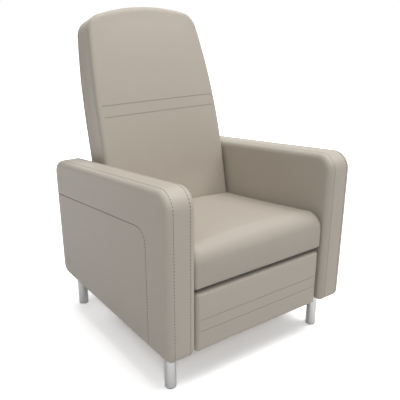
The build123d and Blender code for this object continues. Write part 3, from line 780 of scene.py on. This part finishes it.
def foot_points(loop):
    (x_last, travel), (x_first, _) = loop[-1], loop[0]
    return [(x, travel) for x in spread(x_last, x_first, 30)[1:-1]]


def back_face(skin, inset, surface, rearness, lift=lambda x, travel: 0.0):
    """Fill a face of the back."""
    loop = back_outline(inset, rearness)
    verts, faces = cap_mesh(loop + foot_points(loop), 18.0)
    skin.cap([(x, *unlay(travel, surface(travel) - lift(x, travel))) for x, travel in verts], faces)


def foot_section(travel, side_profile):
    """A section of the back's cushion below its straight sides, where the rear edge is rounded too."""
    most_share = 0.45
    front, rear = front_depth(travel), rear_depth(travel)
    thick = rear - front
    most = thick * most_share
    edge = min(BACK_EDGE, most)
    scale = min(1.0, most / FRONT_EDGE[0][0])
    start = FRONT_EDGE[-1][1]
    sides = [(inset * scale, depth * scale) for inset, depth in FRONT_EDGE]
    sides += [(inset, start + (thick - start - edge) * (depth - start) / (SIDE_END - start))
              for inset, depth in side_profile]
    sides += [(depth, thick - inset) for inset, depth in quarter_round(edge, len(SEAM_EDGE) - 1)]
    half_front, half_rear = BACK_HALF - sides[0][0], BACK_HALF - sides[-1][0]
    loop = [(x, front) for x in spread(-half_front, half_front, 30)[1:-1]]
    loop += [(BACK_HALF - inset, front + depth) for inset, depth in sides]
    loop += [(x, rear) for x in spread(half_rear, -half_rear, 30)[1:-1]]
    loop += [(inset - BACK_HALF, front + depth) for inset, depth in reversed(sides)]
    return [(x, *unlay(travel, depth)) for x, depth in loop]


def back_cushion_skin():
    """The back's cushion as one closed form: front, sides, the seam at the rear and the round foot."""
    start = FRONT_EDGE[-1][1]
    side_profile = [
        (SIDE_SWELL * sin(pi * (depth - start) / (SIDE_END - start)), depth) for depth in SIDE_DEPTHS]
    rings = back_wall(FRONT_EDGE, front_depth, 1) + side_rings(side_profile)
    rings += back_wall(SEAM_EDGE, panel_depth, -1, REAR_PANEL_DEPTH)
    skin = Skin()
    skin.ring_strip(rings, closed=False)
    back_face(skin, FRONT_EDGE[0][0], front_depth, 0.0, back_lift)
    back_face(skin, SEAM_EDGE[-1][0], panel_depth, 1.0)

    half_front, half_rear = BACK_HALF - FRONT_EDGE[0][0], BACK_HALF - SEAM_EDGE[-1][0]
    first = [(x, *unlay(ROLL_TOP, front_depth(ROLL_TOP))) for x in spread(-half_front, half_front, 30)[1:-1]]
    first += [ring[0] for ring in rings]
    first += [(x, *unlay(ROLL_TOP, panel_depth(ROLL_TOP))) for x in spread(half_rear, -half_rear, 30)[1:-1]]
    first += [ring[-1] for ring in reversed(rings)]
    travels = [ROLL_TOP - 1.0, 55.0, 38.0, 20.0]
    travels += [BACK_RADIUS * cos(turn) for turn in np.linspace(pi / 2, pi - 0.1, 13)]
    skin.ring_strip([first] + [foot_section(travel, side_profile) for travel in travels])
    skin.faces.append(range(len(skin.points) - len(first), len(skin.points)))
    return skin


def back_rear_skin():
    """The panel on the back's rear: a thin closed slab with a rounded rim."""

    def seam_at(travel):
        return panel_depth(travel) + PANEL_GAP

    rear_profile = quarter_round(REAR_EDGE, 8)
    front_inset, rear_inset = PANEL_EDGE[0][0], rear_profile[0][0]
    rings = back_wall(PANEL_EDGE, seam_at, 1, REAR_PANEL_DEPTH)
    rings += reversed(back_wall(rear_profile, rear_depth, -1, BACK_THICKNESS))
    skin = Skin()
    skin.ring_strip(rings, closed=False)
    back_face(skin, front_inset, seam_at, 1.0)
    back_face(skin, rear_inset, rear_depth, 1.0)
    front_run, rear_run = (
        [(x, *unlay(travel, depth_at(travel))) for x, travel in foot_points(back_outline(inset))]
        for inset, depth_at in ((front_inset, seam_at), (rear_inset, rear_depth)))
    foot = [rings[0][-1]] + front_run + [ring[0] for ring in rings]
    foot += list(reversed(rear_run)) + [ring[-1] for ring in reversed(rings[1:])]
    skin.cap(foot, [range(len(foot))])
    return skin


# Footrest and rear panel
def slab_skin(half, base, top, corner, edge, front, depth, spacing, rear_edge=0.0):
    """A padded board in X and Z with a rounded front edge."""
    chamfer, rear_spacing = 0.6, 60.0
    outline = Outline(((-half, base), (-half, top), (half, top), (half, base)), (corner,) * 4, 16.0, 8)
    profile = quarter_round(edge, 7)
    if rear_edge:
        profile += [(set_in, depth - ahead) for ahead, set_in in quarter_round(rear_edge, 5)]
    else:
        profile += [(0.0, depth - chamfer), (chamfer, depth)]
    skin = Skin()
    skin.ring_strip([[(x, front + behind, z) for x, z in outline.loop(inset)]
                     for inset, behind in profile])
    for inset, place, gap in ((edge, front, spacing), (profile[-1][0], front + depth, rear_spacing)):
        verts, faces = cap_mesh(outline.loop(inset), gap)
        skin.cap([(x, place, z) for x, z in verts], faces)
    return skin


# Padding
def own_copy(piece):
    """Give the piece its mesh with its modifiers applied."""
    bpy.context.view_layer.update()
    shaped = piece.evaluated_get(bpy.context.evaluated_depsgraph_get())
    mesh = bpy.data.meshes.new_from_object(shaped)
    piece.modifiers.clear()
    old = piece.data
    piece.data = mesh
    bpy.data.meshes.remove(old)


def coordinates(mesh, kind="co"):
    flat = np.empty(len(mesh.vertices) * 3)
    mesh.vertices.foreach_get(kind, flat)
    return flat.reshape(-1, 3)


def own_places(places):
    """Places from the frame's metres in the millimetres of the shapes."""
    return places * 1000 + SHIFT


def set_coordinates(mesh, places):
    mesh.vertices.foreach_set("co", places.reshape(-1))
    mesh.update()


def evened(mesh, moves):
    """The moves of the points, each drawn towards the mean of its neighbours' moves."""
    ends = np.empty(len(mesh.edges) * 2, dtype=int)
    mesh.edges.foreach_get("vertices", ends)
    ends = ends.reshape(-1, 2)
    count = np.bincount(ends.reshape(-1), minlength=len(moves))[:, None]
    still = np.linalg.norm(moves, axis=1, keepdims=True) < 1e-6
    for _ in range(EVENING_ROUNDS):
        total = np.zeros_like(moves)
        np.add.at(total, ends[:, 0], moves[ends[:, 1]])
        np.add.at(total, ends[:, 1], moves[ends[:, 0]])
        moves = np.where(still, 0.0, 0.5 * moves + 0.5 * total / np.maximum(count, 1))
    return moves


def swell_cloth(piece, held):
    """Run the cloth under pressure on the piece, held where it is sewn or rests."""
    last_frame = 20
    group = piece.vertex_groups.new(name="held")
    group.add([int(index) for index in np.nonzero(held)[0]], 1.0, "REPLACE")
    modifier = piece.modifiers.new("cloth", "CLOTH")
    settings = modifier.settings
    settings.quality = 6
    settings.vertex_group_mass = group.name
    settings.use_pressure = True
    settings.uniform_pressure_force = 4.0
    settings.tension_stiffness = 30.0
    settings.compression_stiffness = 30.0
    settings.shear_stiffness = 15.0
    settings.bending_stiffness = 6.0
    settings.effector_weights.gravity = 0.0
    modifier.point_cache.frame_start = 1
    modifier.point_cache.frame_end = last_frame
    for step in range(1, last_frame + 1):
        bpy.context.scene.frame_set(step)
    own_copy(piece)
    bpy.context.scene.frame_set(1)
    piece.vertex_groups.clear()


def padded_form(piece, cap, held, limit):
    """Fill a closed form: swell its cloth up to a cap, keep it within limits and make it finer."""
    start = coordinates(piece.data)
    swell_cloth(piece, held(own_places(start)))
    moves = coordinates(piece.data) - start
    travel = np.linalg.norm(moves, axis=1, keepdims=True)
    print(piece.name, len(start), "points swelled by up to", round(float(travel.max()) * 1000, 1), "mm")
    share = cap / 1000 * np.tanh(travel / (cap / 1000)) / np.maximum(travel, 1e-9)
    set_coordinates(piece.data, start + evened(piece.data, moves * share))
    places = own_places(coordinates(piece.data))
    limit(places)
    set_coordinates(piece.data, (places - SHIFT) / 1000)
    subdivide = piece.modifiers.new("finer", "SUBSURF")
    subdivide.levels = 2
    subdivide.render_levels = 2
    own_copy(piece)
    piece.data.polygons.foreach_set("use_smooth", [True] * len(piece.data.polygons))
    return piece


def cut_across(piece, origin, normal, offsets):
    """Add edges where planes cross the piece, so that a narrow channel has points to follow."""
    bm = bmesh.new()
    bm.from_mesh(piece.data)
    for offset in offsets:
        place = Vector(origin) + Vector(normal) * offset / 1000
        parts = bm.verts[:] + bm.edges[:] + bm.faces[:]
        bmesh.ops.bisect_plane(bm, geom=parts, dist=1e-6, plane_co=place, plane_no=normal)
    bm.to_mesh(piece.data)
    bm.free()


def sew_channel(piece, origin, normal, depth, reach, facing):
    """Press a stitched line into the side of a piece that faces one way."""
    facing_least, facing_run, end_run, falloff = 0.8, 0.15, 0.003, 1.3
    cut_across(piece, origin, normal, CHANNEL_OFFSETS)
    places = coordinates(piece.data)
    gap = (places - np.array(origin)) @ np.array(normal) * 1000
    turned = np.clip((coordinates(piece.data, "normal") @ np.array(facing) - facing_least) / facing_run, 0, 1)
    within = np.clip((reach / 1000 - np.abs(places[:, 0])) / end_run, 0, 1)
    press = depth / 1000 * np.exp(-(np.abs(gap) / CHANNEL_REACH) ** falloff) * turned * within
    set_coordinates(piece.data, places - press[:, None] * np.array(facing))


# Materials
def new_material(name):
    material = bpy.data.materials.new(name)
    material.use_nodes = True
    return material, material.node_tree, material.node_tree.nodes["Principled BSDF"]


def node(tree, kind, **values):
    """A new node, with inputs and settings given by name."""
    made = tree.nodes.new(kind)
    for key, value in values.items():
        if key in made.inputs:
            made.inputs[key].default_value = value
        else:
            setattr(made, key, value)
    return made


def object_place(tree, scale=None):
    """The place on the object, stretched along its axes if a scale is given."""
    place = tree.nodes.new("ShaderNodeTexCoord").outputs["Object"]
    if scale is None:
        return place
    stretch = node(tree, "ShaderNodeMapping", Scale=scale)
    tree.links.new(place, stretch.inputs["Vector"])
    return stretch.outputs["Vector"]


def noise(tree, place, **values):
    made = node(tree, "ShaderNodeTexNoise", **values)
    tree.links.new(place, made.inputs["Vector"])
    return made


def scaled(colour, share):
    return tuple(min(1.0, part * share) for part in colour)


def tint(tree, factor, low, high, low_at, high_at):
    """Colour the tree's surface between two colours."""
    ramp = tree.nodes.new("ShaderNodeValToRGB")
    for element, place, colour in zip(ramp.color_ramp.elements, (low_at, high_at), (low, high)):
        element.position = place
        element.color = (*colour, 1.0)
    tree.links.new(factor, ramp.inputs["Fac"])
    tree.links.new(ramp.outputs["Color"], tree.nodes["Principled BSDF"].inputs["Base Color"])


def gloss(tree, factor, low, high):
    """Vary the roughness of the tree's surface between two values."""
    level = node(tree, "ShaderNodeMapRange")
    level.inputs["To Min"].default_value = low
    level.inputs["To Max"].default_value = high
    tree.links.new(factor, level.inputs["Value"])
    tree.links.new(level.outputs["Result"], tree.nodes["Principled BSDF"].inputs["Roughness"])


def bump(tree, height, strength, distance):
    made = node(tree, "ShaderNodeBump", Strength=strength, Distance=distance)
    tree.links.new(height, made.inputs["Height"])
    tree.links.new(made.outputs["Normal"], tree.nodes["Principled BSDF"].inputs["Normal"])


def coated_cloth(name, base, sheen=(0.46, 0.60)):
    """Coated upholstery cloth: pebbled grain, faint mottling and slightly uneven gloss."""
    mottle_share, grain, grain_depth = 0.012, 0.12, 0.0004
    material, tree, shader = new_material(name)
    place = object_place(tree)
    mottle = noise(tree, place, Scale=16.0, Detail=6.0, Roughness=0.65)
    low, high = scaled(base, 1 - mottle_share), scaled(base, 1 + mottle_share)
    tint(tree, mottle.outputs["Fac"], low, high, 0.3, 0.7)
    gloss(tree, noise(tree, place, Scale=38.0, Detail=3.0).outputs["Fac"], *sheen)
    pebble = node(tree, "ShaderNodeTexVoronoi", Scale=620.0, feature="DISTANCE_TO_EDGE")
    warp = noise(tree, place, Scale=180.0, Detail=2.0)
    mixed = node(tree, "ShaderNodeMixRGB", Fac=0.004, blend_type="LINEAR_LIGHT")
    tree.links.new(place, mixed.inputs["Color1"])
    tree.links.new(warp.outputs["Color"], mixed.inputs["Color2"])
    tree.links.new(mixed.outputs["Color"], pebble.inputs["Vector"])
    bump(tree, pebble.outputs["Distance"], grain, grain_depth)
    shader.inputs["Specular IOR Level"].default_value = 0.38
    return material


def thread_material(name, base):
    material, tree, shader = new_material(name)
    twist = noise(tree, object_place(tree), Scale=900.0, Detail=2.0)
    tint(tree, twist.outputs["Fac"], scaled(base, 0.7), scaled(base, 1.25), 0.35, 0.65)
    shader.inputs["Roughness"].default_value = 0.75
    return material


def metal_material(name, base, roughness, grain_scale, metallic=1.0, spread_share=0.06):
    """Brushed or coated metal, with its grain stretched along the axes."""
    material, tree, shader = new_material(name)
    brush = noise(tree, object_place(tree, grain_scale), Scale=1.0, Detail=4.0).outputs["Fac"]
    tint(tree, brush, scaled(base, 1 - spread_share), scaled(base, 1 + spread_share), 0.3, 0.7)
    gloss(tree, brush, roughness * 0.85, roughness * 1.2)
    bump(tree, brush, 0.05, 0.0003)
    shader.inputs["Metallic"].default_value = metallic
    return material


def wood_material(name, light, dark, scale):
    material, tree, shader = new_material(name)
    rings = noise(tree, object_place(tree, scale), Scale=3.0, Detail=6.0, Roughness=0.65, Distortion=0.6)
    tint(tree, rings.outputs["Fac"], dark, light, 0.35, 0.68)
    bump(tree, rings.outputs["Fac"], 0.12, 0.0006)
    shader.inputs["Roughness"].default_value = 0.68
    return material


def plastic_material(name, base, roughness):
    material, tree, shader = new_material(name)
    speck = noise(tree, object_place(tree), Scale=260.0, Detail=3.0).outputs["Fac"]
    tint(tree, speck, scaled(base, 0.85), scaled(base, 1.15), 0.35, 0.65)
    bump(tree, speck, 0.08, 0.0002)
    shader.inputs["Roughness"].default_value = roughness
    return material


CLOTH = (0.453, 0.407, 0.347)
# The seat's cloth is the same cloth made darker: painted shade for the lower light on the seat.
SEAT_SHADE_SHARE = 0.92
cloth = coated_cloth("coated_cloth", CLOTH, (0.44, 0.56))
seat_shaded_cloth = coated_cloth("seat_shaded_cloth", scaled(CLOTH, SEAT_SHADE_SHARE))
# Near-black cloth for the seat wrap: painted shade that darkens the gap under the seat's front.
painted_shade_lining = coated_cloth("painted_shade_cloth", (0.06, 0.055, 0.05))
thread = thread_material("thread", (0.085, 0.076, 0.066))

slot_material = {
    "upholstery": cloth,
    "seat_upholstery": seat_shaded_cloth,
    "plywood": wood_material("plywood", (0.62, 0.45, 0.28), (0.50, 0.34, 0.20), (60.0, 5.0, 5.0)),
    "timber": wood_material("timber", (0.66, 0.47, 0.29), (0.47, 0.31, 0.17), (26.0, 2.2, 26.0)),
    "leg_metal": metal_material("leg_metal", (0.34, 0.34, 0.335), 0.30, (900.0, 900.0, 12.0)),
    "glide_plastic": plastic_material("glide_plastic", (0.30, 0.30, 0.30), 0.5),
    "bearing_plastic": plastic_material("bearing_plastic", (0.06, 0.06, 0.06), 0.42),
    "fastener_steel": metal_material("zinc", (0.60, 0.60, 0.58), 0.34, (500.0, 500.0, 500.0)),
    "linkage_steel": metal_material(
        "black_steel", (0.035, 0.035, 0.038), 0.45, (700.0, 700.0, 700.0), 0.0, 0.2),
}
slot_of = {entry["node"]: entry["material_slot"] for entry in frame["record"]["subparts"]}
for name, carried in frame["nodes"].items():
    made = slot_material[slot_of[name]]
    if not carried.material_slots:
        carried.data.materials.append(made)
    for holder in carried.material_slots:
        holder.material = made


# Dressed pieces
def dress(piece, material, body, nodes=()):
    piece.data.materials.append(material)
    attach(piece, body)
    if nodes:
        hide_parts(*nodes)
    return piece


def dress_arms():
    cover, insert = outer_skins()
    skins = {
        "arm_inner_cover": inner_cover_skin(),
        "arm_band": band_skin(),
        "arm_outer_cover": cover,
        "arm_outer_insert": insert,
    }
    centre = (ARM_MIDDLE, 400.0, 400.0)
    mirrored_centre = (-centre[0], centre[1], centre[2])
    for name, skin in skins.items():
        for side, made, middle in (("right", skin, centre), ("left", mirrored_skin(skin), mirrored_centre)):
            piece = made.build("cloth_" + name + "_" + side, outward_from(middle))
            dress(piece, cloth, "base", [name + "_" + side])
    stitches = arm_stitches()
    for side, made in (("right", stitches), ("left", mirrored_skin(stitches))):
        dress(made.build("arm_stitches_" + side, weld=THREAD_WELD), thread, "base")


def seat_held(places):
    """Points that rest on the deck or against the back, or are sewn at the sides."""
    rests = (places[:, 2] < SEAT_BASE + REST_REACH) | (places[:, 1] > SEAT_REAR - SEAT_SEWN)
    return rests | (np.abs(places[:, 0]) > SEAT_HALF - SEAT_SEWN)


def seat_limit(places):
    np.clip(places[:, 0], -SEAT_HALF - SIDE_ROOM, SEAT_HALF + SIDE_ROOM, out=places[:, 0])
    np.clip(places[:, 1], SEAT_FRONT - SEAT_FRONT_ROOM, SEAT_REAR, out=places[:, 1])
    np.maximum(places[:, 2], SEAT_BASE, out=places[:, 2])


def dress_seat():
    form = seat_skin().build("cloth_seat", outward_from((0.0, 270.0, 420.0)))
    seat = padded_form(form, cap=5.0, held=seat_held, limit=seat_limit)
    # The seat is dressed in the darker copy of the cloth, painted shade.
    dress(seat, seat_shaded_cloth, "base", ["seat_cushion"])


def dress_seat_wrap():
    wrap = seat_wrap_skin().build("cloth_seat_wrap", outward_from((0.0, 60.0, 352.0)))
    # The wrap wears the near-black cloth, painted shade in the gap below the seat.
    dress(wrap, painted_shade_lining, "base")


def back_held(places):
    """Points of the foot, the sides and the rear, and those beside the front's edge."""
    travel, depth = lay(places[:, 1:].T)
    behind = depth - np.interp(travel, front_line[:, 0], front_line[:, 1])
    gaps = np.array([edge_gap(x, height) for x, height in zip(places[:, 0], travel)])
    return (travel < SWELL_START) | (behind > REST_REACH) | (gaps < BACK_SEWN)


def back_limit(places):
    """Keep the cushion between the arms and inside its tapered sides."""
    travel, _ = lay(places[:, 1:].T)
    half = BACK_HALF - np.maximum(travel - TAPER_START, 0) * tan(radians(TAPER_ANGLE)) + SIDE_ROOM
    half = np.where(travel < ARM_TRAVEL, BACK_HALF - SMALL_ROOM, half)
    places[:, 0] = np.clip(places[:, 0], -half, half)


def dress_back():
    away = outward_from((0.0, *unlay(380.0, 0.0)))
    facing = (0.0, -REARWARD[0], -REARWARD[1])
    form = back_cushion_skin().build("cloth_back", away)
    cushion = padded_form(form, cap=3.0, held=back_held, limit=back_limit)
    rows = []
    for travel in back_stitch_travels:
        groove = to_frame((0.0, *unlay(travel, 0.0)))
        sew_channel(cushion, groove, (0.0, *UP), STITCH_SINK, BACK_STITCH_HALF + 2, facing)
        ahead = unlay(travel, front_depth(travel) - RAY_START)
        rows.append([(x, *ahead) for x in spread(-BACK_STITCH_HALF, BACK_STITCH_HALF, 60)])
    dress(cushion, cloth, "back", ["back_cushion"])
    back_panel = back_rear_skin().build("cloth_back_rear", away)
    dress(back_panel, cloth, "back", ["back_rear_panel"])
    stitches = sewn_rows(cushion, rows, (0.0, *REARWARD), BACK_THREAD)
    dress(stitches.build("back_stitches", weld=THREAD_WELD), thread, "back")


def foot_held(places):
    return places[:, 1] > FOOT_FRONT + FOOT_DEPTH - FOOT_SEWN


def foot_limit(places):
    for axis, low, high in ((0, -FOOT_HALF, FOOT_HALF), (2, FOOT_BASE, FOOT_TOP)):
        np.clip(places[:, axis], low - SMALL_ROOM, high + SMALL_ROOM, out=places[:, axis])


def dress_footrest():
    pad = slab_skin(FOOT_HALF, FOOT_BASE, FOOT_TOP, FOOT_CORNER, FOOT_EDGE, FOOT_FRONT, FOOT_DEPTH, 20.0)
    form = pad.build("cloth_footrest", outward_from((0.0, 28.0, 240.0)))
    pad_piece = padded_form(form, cap=2.0, held=foot_held, limit=foot_limit)
    for height, depth in [(FOOT_SEAM, FOOT_SEAM_DEPTH)] + [(row, STITCH_SINK) for row in FOOT_STITCHES]:
        line = to_frame((0.0, 0.0, height))
        sew_channel(pad_piece, line, (0.0, 0.0, 1.0), depth, FOOT_STITCH_HALF, (0.0, -1.0, 0.0))
    dress(pad_piece, cloth, "footrest", ["footrest_pad"])
    rows = [[(x, FOOT_FRONT - RAY_START, height) for x in spread(-FOOT_STITCH_HALF, FOOT_STITCH_HALF, 60)]
            for height in FOOT_STITCHES]
    stitches = sewn_rows(pad_piece, rows, (0.0, 1.0, 0.0), FOOT_THREAD)
    dress(stitches.build("footrest_stitches", weld=THREAD_WELD), thread, "footrest")


def dress_rear_panel():
    rear = slab_skin(half=SEAT_OPENING - 0.3, base=170.0, top=440.0, corner=3.0, edge=5.0,
                     front=770.0, depth=16.0, spacing=40.0, rear_edge=5.0)
    piece = rear.build("cloth_rear_panel", outward_from((0.0, 778.0, 305.0)))
    dress(piece, cloth, "base", ["rear_panel"])


# Floor, light and camera
LAMPS = (
    ("key", (1.8, -0.4, 8.5), (0.0, 0.0, 0.4), 7.0, 500.0),
    ("right_front", (3.4, -2.2, 5.2), (0.0, 0.0, 0.5), 2.4, 102.0),
    ("left_front", (-2.1, -3.5, 2.7), (0.0, 0.0, 0.6), 1.0, 54.0),
    ("left", (-3.2, -0.8, 5.6), (0.0, 0.0, 0.5), 3.0, 27.0),
    ("rear", (1.0, 4.6, 3.6), (0.0, 0.0, 0.5), 4.0, 34.0),
)
WHITE = (1.0, 1.0, 1.0, 1.0)
SKY_STRENGTH = 0.205
CAMERA_PLACE = (-1.1215, -1.1877 - MIDDLE / 1000, 1.1824)
CAMERA_DOWN = 19.90
CAMERA_TURN = -35.83
SENSOR_WIDTH = 36.0
PICTURE_PIXELS = 400
FOCAL_PIXELS = 558.19


def seen_directly(tree):
    """One where a surface is seen by the camera, in a reflection or through glass."""
    rays = tree.nodes.new("ShaderNodeLightPath")
    total = rays.outputs["Is Camera Ray"]
    for kind in ("Is Glossy Ray", "Is Transmission Ray"):
        larger = node(tree, "ShaderNodeMath", operation="MAXIMUM")
        tree.links.new(total, larger.inputs[0])
        tree.links.new(rays.outputs[kind], larger.inputs[1])
        total = larger.outputs[0]
    return total


def combine(tree, otherwise, seen, output):
    """Use one shader where the surface is seen directly and the other for all other light."""
    mix = tree.nodes.new("ShaderNodeMixShader")
    tree.links.new(seen_directly(tree), mix.inputs["Fac"])
    tree.links.new(otherwise, mix.inputs[1])
    tree.links.new(seen, mix.inputs[2])
    tree.links.new(mix.outputs["Shader"], tree.nodes[output].inputs["Surface"])


def floor_piece():
    """A wide pale floor that keeps its shadow near the chair and turns white farther out."""
    mesh = bpy.data.meshes.new("floor")
    size = 30.0
    corners = [(-size, -size, 0), (size, -size, 0), (size, size, 0), (-size, size, 0)]
    mesh.from_pydata(corners, [], [(0, 1, 2, 3)])
    floor = bpy.data.objects.new("floor", mesh)
    bpy.context.scene.collection.objects.link(floor)
    material, tree, shader = new_material("floor_paint")
    shader.inputs["Base Color"].default_value = (0.43, 0.43, 0.435, 1.0)
    shader.inputs["Roughness"].default_value = 0.9
    shader.inputs["Specular IOR Level"].default_value = 0.0
    lift = node(tree, "ShaderNodeEmission", Color=WHITE)
    reach = node(tree, "ShaderNodeVectorMath", operation="LENGTH")
    tree.links.new(object_place(tree), reach.inputs[0])
    whiter = node(tree, "ShaderNodeMapRange")
    for key, value in (("From Min", 1.2), ("From Max", 3.2), ("To Min", 0.18), ("To Max", 1.0)):
        whiter.inputs[key].default_value = value
    tree.links.new(reach.outputs["Value"], whiter.inputs["Value"])
    tree.links.new(whiter.outputs["Result"], lift.inputs["Strength"])
    bright = node(tree, "ShaderNodeBsdfDiffuse", Color=(1.58, 1.58, 1.59, 1.0))
    both = tree.nodes.new("ShaderNodeAddShader")
    tree.links.new(bright.outputs["BSDF"], both.inputs[0])
    tree.links.new(lift.outputs["Emission"], both.inputs[1])
    combine(tree, shader.outputs["BSDF"], both.outputs["Shader"], "Material Output")
    mesh.materials.append(material)


def area_light(name, place, target, size, power):
    light = bpy.data.lights.new(name, "AREA")
    light.shape = "SQUARE"
    light.size = size
    light.energy = power
    holder = bpy.data.objects.new(name, light)
    holder.location = place
    holder.rotation_euler = (Vector(target) - Vector(place)).to_track_quat("-Z", "Y").to_euler()
    bpy.context.scene.collection.objects.link(holder)


def studio():
    """A soft even sky for the light, white where it is seen, and the lamps."""
    world = bpy.data.worlds.new("studio")
    bpy.context.scene.world = world
    world.use_nodes = True
    tree = world.node_tree
    background = tree.nodes["Background"]
    background.inputs["Color"].default_value = WHITE
    background.inputs["Strength"].default_value = SKY_STRENGTH
    plain_white = node(tree, "ShaderNodeBackground", Color=WHITE, Strength=1.0)
    combine(tree, background.outputs["Background"], plain_white.outputs["Background"], "World Output")
    for lamp in LAMPS:
        area_light(*lamp)


def camera():
    lens = bpy.data.cameras.new("camera")
    lens.sensor_width = SENSOR_WIDTH
    lens.lens = FOCAL_PIXELS / PICTURE_PIXELS * SENSOR_WIDTH
    holder = bpy.data.objects.new("camera", lens)
    holder.location = CAMERA_PLACE
    holder.rotation_euler = (radians(90 - CAMERA_DOWN), 0.0, radians(CAMERA_TURN))
    bpy.context.scene.collection.objects.link(holder)
    bpy.context.scene.camera = holder


dress_arms()
dress_seat()
dress_back()
dress_footrest()
dress_rear_panel()
dress_seat_wrap()
floor_piece()
studio()
camera()
bpy.context.scene.view_settings.view_transform = "Standard"

bpy.context.view_layer.update()
